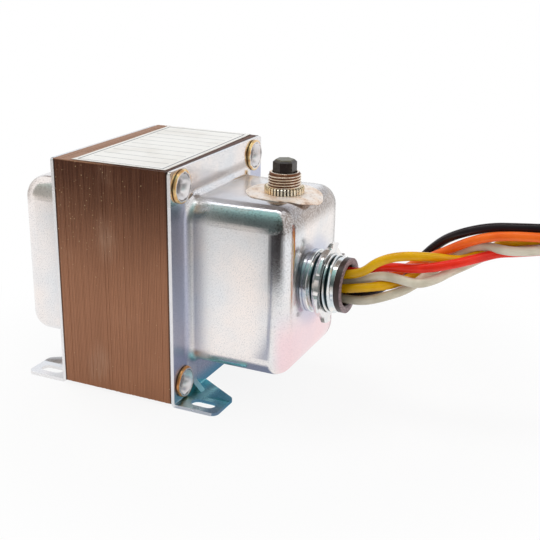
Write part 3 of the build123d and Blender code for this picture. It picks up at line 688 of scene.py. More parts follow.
@dataclass(frozen=True)
class PlateBrass(Finish):
    """Thin pale brass leaf, lightly tarnished and rubbed."""

    pale: Colour = tone(255, 246, 238)
    brass: Colour = tone(250, 228, 208)
    stain: Colour = tone(168, 122, 92)

    def paint(self, graph: Graph) -> None:
        """Lay rubbed brass with small stains.

        Args:
            graph: The empty graph.
        """
        point = graph.place()
        cloud = graph.noise(point, 210, 4)
        grain = graph.noise(point, 2200, 3)
        rub = graph.noise(graph.drawn(point, (140, 1500, 140), (0.0, 0.0, 0.4)), 1.0, 3)
        base = graph.blend(cloud.fade(0.36, 0.66), self.pale, self.brass)
        fleck = graph.noise(point, 850, 3, 0.65).fade(0.52, 0.64)
        dull = cloud.fade(0.58, 0.72) * 0.5 + rub.fade(0.6, 0.75) * 0.2 + fleck * 0.36
        base = graph.blend(dull.least(1.0), base, self.stain)
        gloss = 0.4 + 0.2 * (cloud - 0.5) + 0.2 * (grain - 0.5)
        rise = graph.bump(grain, 0.2, 0.04 * MM, graph.bump(cloud, 0.4, 0.5 * MM))
        graph.surface({"Base Color": base, "Metallic": 0.35, "Roughness": gloss, "Normal": rise})


@dataclass(frozen=True)
class WorkedMetal(Finish):
    """Small metal parts with a drawn grain."""

    base: Colour = tone(200, 190, 170)
    shade: Colour = tone(140, 126, 106)
    rough: float = 0.28

    def paint(self, graph: Graph) -> None:
        """Lay drawn metal with cloudy tarnish.

        Args:
            graph: The empty graph.
        """
        point = graph.place()
        cloud = graph.noise(point, 300, 4)
        drawn = graph.noise(graph.drawn(point, (900, 900, 120)), 1.0, 3)
        base = graph.blend(cloud.fade(0.35, 0.7), self.base, self.shade)
        gloss = self.rough + 0.2 * (drawn - 0.5) + 0.1 * (cloud - 0.5)
        rise = graph.bump(drawn, 0.2, 0.03 * MM)
        graph.surface({"Base Color": base, "Metallic": 1.0, "Roughness": gloss, "Normal": rise})


@dataclass(frozen=True)
class MouldedPlastic(Finish):
    """Moulded plastic with a fine skin, dust and paler rubbed spots."""

    base: Colour = tone(26, 25, 24)
    dust: Colour = tone(84, 80, 66)
    amount: float = 0.35
    rough: float = 0.36
    top: float = 1.0

    def paint(self, graph: Graph) -> None:
        """Lay plastic with dust that gathers in patches and lies on a flat top.

        Args:
            graph: The empty graph.
        """
        point = graph.place()
        lying = graph.axes(point)[2].fade(self.top - 0.5 * MM, self.top - 0.1 * MM)
        cloud = graph.noise(point, 240, 4)
        skin = graph.noise(point, 3200, 3)
        fleck = graph.noise(point, 1500, 2).fade(0.56, 0.72)
        share = self.amount * (0.55 * cloud.fade(0.4, 0.68) + 0.6 * fleck) + lying * (0.45 + 0.5 * cloud)
        base = graph.blend(share.least(1.0), self.base, self.dust)
        gloss = self.rough + 0.22 * (cloud - 0.5) + 0.16 * (skin - 0.5)
        rise = graph.bump(skin, 0.25, 0.04 * MM, graph.bump(cloud, 0.15, 0.3 * MM))
        graph.surface({"Base Color": base, "Roughness": gloss, "Normal": rise, "IOR": 1.5})


@dataclass(frozen=True)
class BushingPlastic(Finish):
    """Brown moulded bushing whose flat face is paler and speckled."""

    rim: Colour = tone(58, 40, 36)
    face: Colour = tone(166, 142, 146)
    fleck: Colour = tone(92, 74, 78)
    front: float = 76.4 * MM

    def paint(self, graph: Graph) -> None:
        """Lay brown plastic with a speckled, rubbed face.

        Args:
            graph: The empty graph.
        """
        point = graph.place()
        x = graph.axes(point)[0]
        cloud = graph.noise(point, 300, 3)
        speckle = graph.noise(point, 1700, 3, 0.7)
        flat = x.fade(self.front - 0.5 * MM, self.front - 0.15 * MM)
        skin = graph.blend(speckle.fade(0.45, 0.62), self.face, self.fleck)
        base = graph.blend((flat * (0.6 + 0.6 * cloud)).least(1.0), self.rim, skin)
        gloss = 0.34 + 0.2 * (speckle - 0.5) + 0.15 * flat
        rise = graph.bump(speckle, 0.3, 0.05 * MM, graph.bump(cloud, 0.2, 0.3 * MM))
        graph.surface({"Base Color": base, "Roughness": gloss, "Normal": rise, "IOR": 1.5})


@dataclass(frozen=True)
class LabelCard(Finish):
    """Off-white card with a thin ruled border and blank ruled lines."""

    middle: float = 2.0 * MM
    reach: float = 18.6 * MM
    half: float = 34.5 * MM
    turn: float = math.radians(1.4)
    card: Colour = tone(243, 242, 238)
    worn: Colour = tone(220, 215, 206)
    ink: Colour = tone(70, 74, 82)
    border: float = 1.7 * MM
    margin: float = 3.6 * MM
    spacing: float = 6.4 * MM

    def paint(self, graph: Graph) -> None:
        """Lay card with faint fibre, aged edges and blank rules.

        Args:
            graph: The empty graph.
        """
        point = graph.place()
        x, y, _ = graph.axes(point)
        along = (x - self.middle) * math.cos(self.turn) + y * math.sin(self.turn)
        across = y * math.cos(self.turn) - (x - self.middle) * math.sin(self.turn)
        fibre = graph.noise(point, 900, 4)
        cloud = graph.noise(point, 60, 3)
        edge = (self.reach - abs(along)).least(self.half - abs(across))
        frame_line = abs(edge - self.border).fade(0.34 * MM, 0.2 * MM)
        inside = edge.above(self.margin)
        rules = abs((across / self.spacing + 0.5).fract() - 0.5).fade(0.036, 0.022) * inside
        aged = cloud.fade(0.45, 0.7) * 0.4 + edge.fade(0.9 * MM, 0.0) * 0.6
        base = graph.blend(aged.least(1.0), self.card, self.worn)
        base = graph.blend((0.85 * frame_line + 0.7 * rules).least(0.9), base, self.ink)
        gloss = 0.5 + 0.2 * (fibre - 0.5)
        graph.surface({
            "Base Color": base, "Roughness": gloss,
            "Normal": graph.bump(fibre, 0.15, 0.05 * MM), "IOR": 1.45,
        })


@dataclass(frozen=True)
class PvcSkin(Finish):
    """Extruded insulation with a soft gloss and handling marks."""

    base: Colour = tone(250, 214, 38)
    shade: Colour = tone(222, 176, 20)
    rough: float = 0.2
    mouth_shadow_x: Zone = (92 * MM, 75 * MM)

    def paint(self, graph: Graph) -> None:
        """Lay extruded skin with slow colour drift and faint scuffs, and a painted shadow toward the hub.

        Args:
            graph: The empty graph.
        """
        point = graph.place()
        drift = graph.noise(point, 90, 3)
        scuff = graph.noise(graph.drawn(point, (420, 420, 420)), 1.0, 4, 0.65)
        skin = graph.noise(point, 2600, 2)
        share = 0.75 * drift.fade(0.4, 0.68) + 0.25 * scuff.fade(0.6, 0.75)
        base = graph.blend(share.least(1.0), self.base, self.shade)
        # Toward the hub's mouth the skin darkens: painted shadow of the bushing.
        painted_mouth_shadow = (*(0.34 * part for part in self.shade[:3]), 1.0)
        mouth = graph.axes(point)[0].fade(*self.mouth_shadow_x)
        base = graph.blend((0.62 * mouth * (0.5 + drift)).least(1.0), base, painted_mouth_shadow)
        gloss = self.rough + 0.18 * (scuff - 0.5) + 0.1 * (skin - 0.5)
        rise = graph.bump(skin, 0.1, 0.03 * MM, graph.bump(scuff, 0.08, 0.25 * MM))
        graph.surface({
            "Base Color": base, "Roughness": gloss, "Normal": rise,
            "Coat Weight": 0.05, "Coat Roughness": 0.1, "Specular IOR Level": 0.3,
        })


@dataclass(frozen=True)
class WoundWire(Finish):
    """Layer of round magnet wire laid side by side along Y."""

    gauge: float = 0.7 * MM
    base: Colour = tone(186, 104, 52)
    shade: Colour = tone(112, 52, 24)

    def paint(self, graph: Graph) -> None:
        """Lay enamelled turns with dark grooves between them.

        Args:
            graph: The empty graph.
        """
        point = graph.place()
        y = graph.axes(point)[1]
        turn = (y / self.gauge).fract() - 0.5
        crown = (1.0 - 4.0 * turn * turn).most(0.0).root()
        cloud = graph.noise(point, 160, 3)
        base = graph.blend((1.0 - crown * (0.6 + 0.5 * cloud)).most(0.0), self.base, self.shade)
        gloss = 0.3 + 0.2 * (cloud - 0.5)
        graph.surface({
            "Base Color": base, "Metallic": 0.8, "Roughness": gloss,
            "Normal": graph.bump(crown, 0.7, 0.3 * MM), "Coat Weight": 0.3,
        })


@dataclass(frozen=True)
class WrapTape(Finish):
    """Glossy coil tape with overlap lines."""

    base: Colour = tone(226, 190, 70)
    shade: Colour = tone(176, 138, 44)

    def paint(self, graph: Graph) -> None:
        """Lay tape with faint creases.

        Args:
            graph: The empty graph.
        """
        point = graph.place()
        crease = graph.noise(graph.drawn(point, (60, 500, 60)), 1.0, 4)
        base = graph.blend(crease.fade(0.4, 0.7), self.base, self.shade)
        graph.surface({
            "Base Color": base, "Roughness": 0.24 + 0.2 * (crease - 0.5),
            "Normal": graph.bump(crease, 0.3, 0.2 * MM), "IOR": 1.5,
        })


class Assembly:
    """A sub-assembly that adds pieces and dresses the CAD nodes it keeps."""

    def dress(self, finish: Finish, *nodes: str) -> None:
        """Give CAD nodes a finish.

        Args:
            finish: The finish.
            nodes: The nodes' names.
        """
        for name in nodes:
            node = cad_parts[name]
            for slot in node.material_slots:
                slot.material = finish.material()
            LOG.info("dressed %s in %s", name, finish.name)

    def stand(self, made: bpy.types.Object, slot: str, node: str) -> None:
        """Let a piece ride on the transformer and stand for a CAD node.

        Args:
            made: The piece.
            slot: The record's material slot; not used.
            node: The CAD node.
        """
        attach(made, "transformer")
        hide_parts(node)

    def piece(
        self, name: str, shape: bmesh.types.BMesh, finish: Finish, slot: str, node: str, crease: float = 35.0
    ) -> bpy.types.Object:
        """Turn a finished shape into a piece that rides on the transformer.

        Args:
            name: The piece's name.
            shape: Its shape, which is freed.
            finish: Its finish.
            slot: The record's material slot.
            node: The CAD node that it stands for.
            crease: The angle in degrees above which an edge stays sharp.

        Returns:
            The piece.
        """
        mesh = meshed(name, shape)
        mesh.shade_smooth()
        mesh.set_sharp_from_angle(angle=math.radians(crease))
        mesh.materials.append(finish.material())
        made = linked(name, mesh)
        self.stand(made, slot, node)
        LOG.info("built %s with %d faces", name, len(mesh.polygons))
        return made


def closed(
    shape: bmesh.types.BMesh, outline: Sequence[Spot], along: Along
) -> list[Union[bmesh.types.BMVert, bmesh.types.BMEdge]]:
    """Lay a closed outline, as distances along an axis and radii, and give its vertices and edges."""
    corners = [shape.verts.new(along.spot(run, out)) for run, out in outline]
    return corners + [shape.edges.new(ends) for ends in zip(corners, corners[1:] + corners[:1])]


def turned(
    shape: bmesh.types.BMesh, outline: Sequence[Spot], along: Along, steps: int
) -> list[bmesh.types.BMVert]:
    """Turn a closed outline into a ring of metal.

    Args:
        shape: The shape that gets it.
        outline: Corners as distance along the axis and radius.
        along: The axis.
        steps: Steps in a full turn.

    Returns:
        The new vertices.
    """
    before = set(shape.verts)
    bmesh.ops.spin(
        shape, geom=closed(shape, outline, along), cent=along.spot(0.0, 0.0), axis=along.way(),
        angle=math.tau, steps=steps, use_merge=True,
    )
    made = [v for v in shape.verts if v not in before]
    bmesh.ops.remove_doubles(shape, verts=made, dist=1e-7)
    return [v for v in shape.verts if v not in before]


@dataclass(frozen=True)
class Thread:
    """A wound thread: its axis, radii, pitch, crest, foot and steps in a turn."""

    along: Along
    root: float
    crest: float
    pitch: float
    flat: float
    sunk: float
    width: float
    steps: int

    def wind(self, shape: bmesh.types.BMesh, start: float, end: float) -> None:
        """Wind the thread's ridge round its axis and close its ends.

        Args:
            shape: The shape that gets it.
            start: Where the middle of the ridge starts along the axis.
            end: Where the ridge ends.
        """
        half, foot = self.width * self.pitch, self.root - self.sunk
        section = [
            (start - half, foot), (start - self.flat, self.crest),
            (start + self.flat, self.crest), (start + half, foot),
        ]
        turns = (end - half - start) / self.pitch
        bmesh.ops.spin(
            shape, geom=closed(shape, section, self.along), cent=self.along.spot(0.0, 0.0),
            axis=self.along.way(), dvec=self.along.way() * (self.pitch / self.steps),
            angle=math.tau * turns, steps=round(self.steps * turns), use_merge=False,
        )
        bmesh.ops.holes_fill(shape, edges=[e for e in shape.edges if e.is_boundary], sides=0)


def outward(shape: bmesh.types.BMesh) -> None:
    """Turn every face of a closed shape outward."""
    bmesh.ops.recalc_face_normals(shape, faces=shape.faces[:])


@dataclass
class CoreStack(Assembly):
    """The stack of core sheets and the card on top of it."""

    gap: float = 0.035 * MM
    stray: float = 0.045 * MM
    card_base: float = 86.93 * MM
    card_gauge: float = 0.16 * MM
    card_grid: tuple[int, int] = (24, 44)
    card_swell: float = 0.04 * MM
    curl_start: float = 0.9
    curl: float = 1.2 * MM

    def build(self) -> None:
        """Build both stacks and the card."""
        self.stack("e_sheets", "e_laminations", seed=11)
        self.stack("i_sheets", "i_laminations", seed=29)
        self.card()

    def stack(self, name: str, node: str, seed: int) -> None:
        """Build one stack of separate sheets from the outline of its CAD block.

        Args:
            name: The piece's name.
            node: The CAD block.
            seed: The seed of the sheets' small misfits.
        """
        chance = random.Random(seed)
        shape = bmesh.new()
        shape.from_mesh(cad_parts[node].data)
        bmesh.ops.remove_doubles(shape, verts=shape.verts[:], dist=1e-7)
        shape.normal_update()
        low = min(v.co.x for v in shape.verts)
        rest = [f for f in shape.faces if f.normal.x > -0.9 or f.calc_center_median().x > low + 1e-5]
        bmesh.ops.delete(shape, geom=rest, context="FACES")
        bmesh.ops.solidify(shape, geom=shape.faces[:], thickness=SHEET_PITCH - self.gap)
        outward(shape)
        low = min(v.co.x for v in shape.verts)
        bmesh.ops.translate(shape, verts=shape.verts[:], vec=(-low, 0, 0))
        first = shape.verts[:] + shape.edges[:] + shape.faces[:]
        for count in range(SHEETS):
            copy = bmesh.ops.duplicate(shape, geom=first)["geom"]
            verts = [g for g in copy if isinstance(g, bmesh.types.BMVert)]
            shift = (
                -STACK / 2 + count * SHEET_PITCH + self.gap / 2,
                chance.uniform(-self.stray, self.stray),
                chance.uniform(-self.stray, self.stray),
            )
            bmesh.ops.translate(shape, verts=verts, vec=shift)
        bmesh.ops.delete(shape, geom=[g for g in first if isinstance(g, bmesh.types.BMVert)], context="VERTS")
        self.piece(name, shape, VarnishedSheets("varnish_on_sheets"), "varnished_core", node)

    def card(self) -> None:
        """Build the label as a thin card that isn't quite flat."""
        card = LabelCard("label_card")
        shape = bmesh.new()
        wide, long = self.card_grid
        bmesh.ops.create_grid(shape, x_segments=wide, y_segments=long, size=0.5)
        bmesh.ops.scale(shape, verts=shape.verts[:], vec=(2 * card.reach, 2 * card.half, 1))
        turn = Matrix.Rotation(card.turn, 3, "Z")
        bmesh.ops.rotate(shape, verts=shape.verts[:], cent=(0, 0, 0), matrix=turn)
        bmesh.ops.translate(shape, verts=shape.verts[:], vec=(card.middle, 0, 0))
        for vert in shape.verts:
            swell = math.sin(vert.co.x * 190 + 0.6) * math.sin(vert.co.y * 120 + 1.1)
            lift = max(0.0, abs(vert.co.y) / card.half - self.curl_start) * self.curl
            vert.co.z = self.card_base + self.card_gauge + self.card_swell * (1 + swell) + lift
        bmesh.ops.solidify(shape, geom=shape.faces[:], thickness=self.card_gauge)
        outward(shape)
        self.piece("ruled_card", shape, card, "label_card", "top_label")


@dataclass
class EndBells(Assembly):
    """The two drawn bells and the rolled eyelets through their flanges."""

    flange: float = 24.25 * MM
    tube: float = 3.2 * MM
    roll: float = 2.6 * MM
    steps: int = 56
    seed: int = 5
    lobes: tuple[tuple[int, float], ...] = ((2, 0.035), (3, 0.02), (7, 0.014))
    rim: tuple[Spot, ...] = (
        (-1.9, 2.4), (-1.1, 2.45), (-0.45, 2.8), (0.2, 3.4), (0.7, 4.0), (1.05, 4.6), (1.24, 5.05),
        (1.2, 5.4), (0.98, 5.68), (0.6, 5.85), (0.15, 5.8), (0.02, 5.4), (0.02, 3.3),
    )

    def build(self) -> None:
        """Dress the bells and build the eyelets."""
        self.dress(ZincPlate("bright_zinc"), "hub_end_bell", "plain_end_bell")
        self.eyelets()

    def eyelets(self) -> None:
        """Build four hollow eyelets with unevenly rolled rims."""
        brass = EyeletBrass("eyelet_brass")
        chance = random.Random(self.seed)
        front = [(self.flange + run * MM, out * MM) for run, out in self.rim]
        outline = front + [(-run, out) for run, out in reversed(front)]
        shape = bmesh.new()
        for side in (-1, 1):
            for level in (-1, 1):
                verts = turned(shape, outline, Along.HUB, self.steps)
                phases = [chance.uniform(0, math.tau) for _ in self.lobes]
                for vert in verts:
                    across, up = vert.co.y, vert.co.z - CORE_Z
                    out = math.hypot(across, up)
                    turn = math.atan2(up, across)
                    share = min(1.0, max(0.0, (out - self.tube) / self.roll))
                    waves = [
                        swing * math.sin(number * turn + phase)
                        for (number, swing), phase in zip(self.lobes, phases)
                    ]
                    grow = 1 + share * sum(waves)
                    vert.co.y = across * grow
                    vert.co.z = CORE_Z + up * grow
                bmesh.ops.translate(shape, verts=verts, vec=(0, side * brass.across, level * brass.up))
        outward(shape)
        self.piece("rolled_eyelets", shape, brass, "eyelet_brass", "corner_eyelets", crease=50)


@dataclass
class Hub(Assembly):
    """The threaded hub, its locknut and its bushing."""

    wall: float = 61.55 * MM
    thread_end: float = 74.2 * MM
    bore: float = 8.25 * MM
    crest: float = 10.65 * MM
    root: float = 9.75 * MM
    pitch: float = 1.81 * MM
    shoulder: float = 11.6 * MM
    nut_low: float = 66.9 * MM
    nut_gauge: float = 2.5 * MM
    nut_band: float = 12.9 * MM
    nut_tip: float = 14.6 * MM
    lugs: int = 6
    lug_turn: float = math.radians(78)
    lug_steps: int = 60
    lug_flank: float = 9.0
    lug_share: float = 0.25
    lug_lean: float = 0.3
    notch: float = 0.7 * MM
    notch_start: float = 0.55
    collar: float = 12.0 * MM
    collar_gauge: float = 1.25 * MM
    waist: float = 9.9 * MM
    shoulder_gauge: float = 1.6 * MM
    clean: float = 72.2 * MM
    steps: int = 96

    def build(self) -> None:
        """Build the nipple and the locknut, and dress the bushing."""
        self.nipple()
        self.locknut()
        self.dress(BushingPlastic("bushing_brown"), "insulating_bushing")

    def locknut(self) -> None:
        """Build the stamped locknut with lugs bent toward the hub's mouth."""
        low, high = self.nut_low, self.nut_low + self.nut_gauge
        bore, band, tip = self.crest + 0.03 * MM, self.nut_band, self.nut_tip
        outline = [
            (low, bore), (low, band - 0.3 * MM), (low + 0.4 * MM, band), (low + 1.0 * MM, tip),
            (low + 1.3 * MM, tip + 0.1 * MM), (high - 0.5 * MM, tip + 0.1 * MM), (high - 0.2 * MM, tip),
            (high, band), (high + 0.1 * MM, band - 0.8 * MM), (high, bore),
        ]
        shape = bmesh.new()
        for vert in turned(shape, outline, Along.HUB, self.lugs * self.lug_steps):
            side, up = vert.co.y, vert.co.z - CORE_Z
            away = math.hypot(side, up)
            wave = math.cos(self.lugs * (math.atan2(up, side) - self.lug_turn))
            lug = min(1.0, max(0.02, 0.5 + self.lug_flank * (wave - self.lug_share)))
            if away > band - 0.1 * MM:
                notch = self.notch * max(0.0, -wave - self.notch_start)
                reach = (band - notch + lug * (away - band)) / away
                vert.co.y = side * reach
                vert.co.z = CORE_Z + up * reach
                vert.co.x += self.lug_lean * lug * (away - band)
        outward(shape)
        finish = TurnedMetal(
            "locknut_zinc", Along.HUB, tone(234, 234, 236), tone(250, 246, 242),
            root=10.4 * MM, crest=11.2 * MM, rough=0.18, grime_and_shade_share=0.35, metal=0.85,
        )
        self.piece("lugged_locknut", shape, finish, "locknut_zinc", "hub_locknut", crease=40)

    def nipple(self) -> None:
        """Build the nipple with its collar, shoulder and wound thread."""
        face, step = HUB_FACE, HUB_FACE + self.shoulder_gauge
        back = self.wall - self.collar_gauge
        outline = [
            (back, self.bore), (back, self.collar), (self.wall, self.collar), (self.wall, self.waist),
            (face, self.waist), (face, self.shoulder - 0.25 * MM), (face + 0.25 * MM, self.shoulder),
            (step - 0.3 * MM, self.shoulder), (step, self.shoulder - 0.3 * MM),
            (step, self.root), (self.thread_end - 0.5 * MM, self.root),
            (self.thread_end, self.root - 0.4 * MM), (self.thread_end, self.bore),
        ]
        shape = bmesh.new()
        turned(shape, outline, Along.HUB, self.steps)
        thread = Thread(
            Along.HUB, self.root, self.crest, self.pitch, flat=0.1 * MM, sunk=0.15 * MM, width=0.46, steps=72
        )
        thread.wind(shape, step - 0.2 * MM, self.thread_end - 0.35 * MM)
        outward(shape)
        # The dark teal in the nipple's thread roots is painted shade and reflection.
        finish = TurnedMetal(
            "hub_zinc", Along.HUB, tone(216, 226, 230), tone(246, 242, 238), tone(36, 58, 62),
            self.root, self.crest, rough=0.17, grime_and_shade_share=0.8, clean=self.clean,
        )
        self.piece("threaded_nipple", shape, finish, "hub_zinc", "hub_nipple", crease=30)


@dataclass
class Breaker(Assembly):
    """The push-to-reset breaker on top of the hub-end bell."""

    top: float = 83.0 * MM
    crest: float = 5.95 * MM
    root: float = 5.5 * MM
    bore: float = 4.62 * MM
    lip: float = 4.45 * MM
    pitch: float = 0.98 * MM
    leaf_x: float = 14.0 * MM
    leaf_y: float = 13.0 * MM
    leaf_hole: float = 6.1 * MM
    leaf_gauge: float = 0.3 * MM
    nut_low: float = 75.4 * MM
    nut_high: float = 77.95 * MM
    nut_out: float = 7.2 * MM
    flutes: int = 36
    flute_steps: int = 10
    flute_depth: float = 0.6 * MM
    collar: float = 6.3 * MM
    collar_gauge: float = 1.5 * MM
    lip_depth: float = 2.0 * MM
    button_top: float = 87.4 * MM
    droop_start: float = 5.6 * MM
    droop: float = 32.0
    thread_start: float = 2.6 * MM
    steps: int = 72
    leaf_steps: int = 96
    leaf_rings: int = 8
    leaf_lift: float = 0.36 * MM
    leaf_flat: float = 0.6
    leaf_wave: float = 0.016
    leaf_swell: float = 0.05 * MM
    leaf_lean: float = 0.35

    def build(self) -> None:
        """Build the neck, the leaf and the nut, and dress the rest."""
        self.neck()
        self.leaf()
        self.nut()
        black, grey = tone(38, 26, 25), tone(98, 92, 70)
        button = MouldedPlastic("button_black", black, grey, amount=0.3, rough=0.34, top=self.button_top)
        self.dress(button, "breaker_button")
        phenolic = MouldedPlastic("phenolic_black", tone(34, 30, 28), tone(90, 80, 70))
        self.dress(phenolic, "breaker_case", "breaker_base")
        self.dress(WorkedMetal("tinned_brass"), "breaker_terminals")
        silver = WorkedMetal("contact_silver", tone(222, 222, 220), tone(160, 160, 158), rough=0.2)
        self.dress(silver, "breaker_contacts")
        bimetal = WorkedMetal("bimetal", tone(204, 186, 150), tone(150, 130, 100), rough=0.3)
        self.dress(bimetal, "bimetal_blade")
        self.dress(PvcSkin("jumper_black", tone(40, 36, 38), tone(22, 20, 22)), "breaker_jumpers")

    def neck(self) -> None:
        """Build the neck with its flange, lip and wound thread."""
        bottom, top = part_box("breaker_neck")[0].z, self.top
        collar, under = bottom + self.collar_gauge, top - self.lip_depth
        outline = [
            (bottom, self.bore), (bottom, self.collar), (collar, self.collar), (collar, self.root),
            (top - 0.45 * MM, self.root), (top - 0.1 * MM, self.root - 0.3 * MM),
            (top, self.root - 0.45 * MM), (top, self.lip + 0.2 * MM), (top - 0.2 * MM, self.lip),
            (under, self.lip), (under, self.bore),
        ]
        shape = bmesh.new()
        turned(shape, outline, Along.BREAKER, self.steps)
        thread = Thread(
            Along.BREAKER, self.root, self.crest, self.pitch,
            flat=0.06 * MM, sunk=0.1 * MM, width=0.44, steps=60,
        )
        thread.wind(shape, bottom + self.thread_start, top - 0.5 * MM)
        outward(shape)
        finish = TurnedMetal(
            "nickel_brass", Along.BREAKER, tone(255, 232, 204), tone(255, 250, 240), tone(116, 66, 32),
            self.root, self.crest, rough=0.18, grime_and_shade_share=0.75, metal=0.55, clean=self.top,
        )
        self.piece("threaded_neck", shape, finish, "nickel_brass", "breaker_neck", crease=30)

    def nut(self) -> None:
        """Build the fluted nut with bevelled rims."""
        bore, out = self.crest + 0.02 * MM, self.nut_out
        outline = [
            (self.nut_low, bore), (self.nut_low, out - 0.2 * MM), (self.nut_low + 0.2 * MM, out),
            (self.nut_high - 0.4 * MM, out), (self.nut_high - 0.08 * MM, out - 0.35 * MM),
            (self.nut_high, out - 0.55 * MM), (self.nut_high, bore),
        ]
        shape = bmesh.new()
        for vert in turned(shape, outline, Along.BREAKER, self.flutes * self.flute_steps):
            side, up = vert.co.x - BREAKER_X, vert.co.y
            away = math.hypot(side, up)
            if away < out - self.flute_depth:
                continue
            groove = max(0.0, math.cos(self.flutes * math.atan2(up, side))) ** 0.7
            cut = 1 - self.flute_depth * groove / away
            vert.co.x = BREAKER_X + side * cut
            vert.co.y = up * cut
        outward(shape)
        finish = TurnedMetal(
            "nut_brass", Along.BREAKER, tone(252, 222, 176), tone(255, 248, 230), tone(48, 28, 14),
            out - self.flute_depth, out, rough=0.18, grime_and_shade_share=0.7, metal=0.6, clean=self.nut_high,
        )
        self.piece("fluted_nut", shape, finish, "nickel_brass", "breaker_nut", crease=40)

    def leaf(self) -> None:
        """Build the thin oval leaf under the nut, bent down past the bell's rounded end."""
        shape = bmesh.new()
        bmesh.ops.create_circle(shape, cap_ends=False, radius=self.leaf_hole, segments=self.leaf_steps)
        rim = bmesh.ops.create_circle(shape, cap_ends=False, radius=1.0, segments=self.leaf_steps)["verts"]
        bmesh.ops.scale(shape, verts=rim, vec=(self.leaf_x, self.leaf_y, 1))
        bmesh.ops.bridge_loops(shape, edges=shape.edges[:])
        spokes = [
            e for e in shape.edges
            if abs(math.hypot(*e.verts[0].co.xy) - math.hypot(*e.verts[1].co.xy)) > 3 * MM
        ]
        bmesh.ops.subdivide_edges(shape, edges=spokes, cuts=self.leaf_rings, use_grid_fill=True)
        for vert in shape.verts:
            turn = math.atan2(vert.co.y, vert.co.x)
            reach = math.hypot(vert.co.x / self.leaf_x, vert.co.y / self.leaf_y)
            share = max(0.0, (reach - self.leaf_flat) / (1 - self.leaf_flat))
            edge = math.sin(5 * turn + 0.7) + 0.7 * math.sin(9 * turn + 2.1)
            wavy = 1 + self.leaf_wave * share * edge
            vert.co.x *= wavy
            vert.co.y *= wavy
            past = max(0.0, vert.co.x - self.droop_start)
            lean = 1.0 - self.leaf_lean * max(-1.0, min(1.0, vert.co.y / self.leaf_y))
            droop = self.droop * past * past * lean
            swell = self.leaf_swell * share * (1 + math.sin(4 * turn + 1.0))
            vert.co.z = CUP_TOP + self.leaf_lift - droop + swell - self.leaf_swell * share
        bmesh.ops.translate(shape, verts=shape.verts[:], vec=(BREAKER_X, 0, 0))
        outward(shape)
        bmesh.ops.solidify(shape, geom=shape.faces[:], thickness=self.leaf_gauge)
        outward(shape)
        self.piece("oval_leaf", shape, PlateBrass("plate_brass"), "plate_brass", "legend_plate", crease=40)


@dataclass
class Coil(Assembly):
    """The windings inside the bells."""

    def build(self) -> None:
        """Dress the hidden coil pieces."""
        self.dress(WoundWire("magnet_wire"), "primary_winding", "secondary_winding")
        self.dress(WrapTape("coil_tape"), "primary_wrap", "secondary_wrap")
        cream, tan = tone(206, 200, 184), tone(170, 160, 140)
        nylon = MouldedPlastic("bobbin_nylon", cream, tan, amount=0.5, rough=0.42)
        self.dress(nylon, "bobbin")


class LeadColour(Enum):
    """Insulation colours as skin and shade."""

    YELLOW = (tone(242, 188, 4), tone(216, 154, 2))
    WHITE = (tone(228, 220, 200), tone(192, 182, 158))
    RED = (tone(246, 50, 26), tone(220, 30, 14))
    ORANGE = (tone(252, 114, 32), tone(230, 86, 16))
    BLACK = (tone(40, 28, 32), tone(24, 16, 20))


@dataclass(frozen=True)
class Lead:
    """One lead: its CAD node, colour, length and route in millimetres."""

    node: str
    colour: LeadColour
    length: float
    route: tuple[Point, ...]


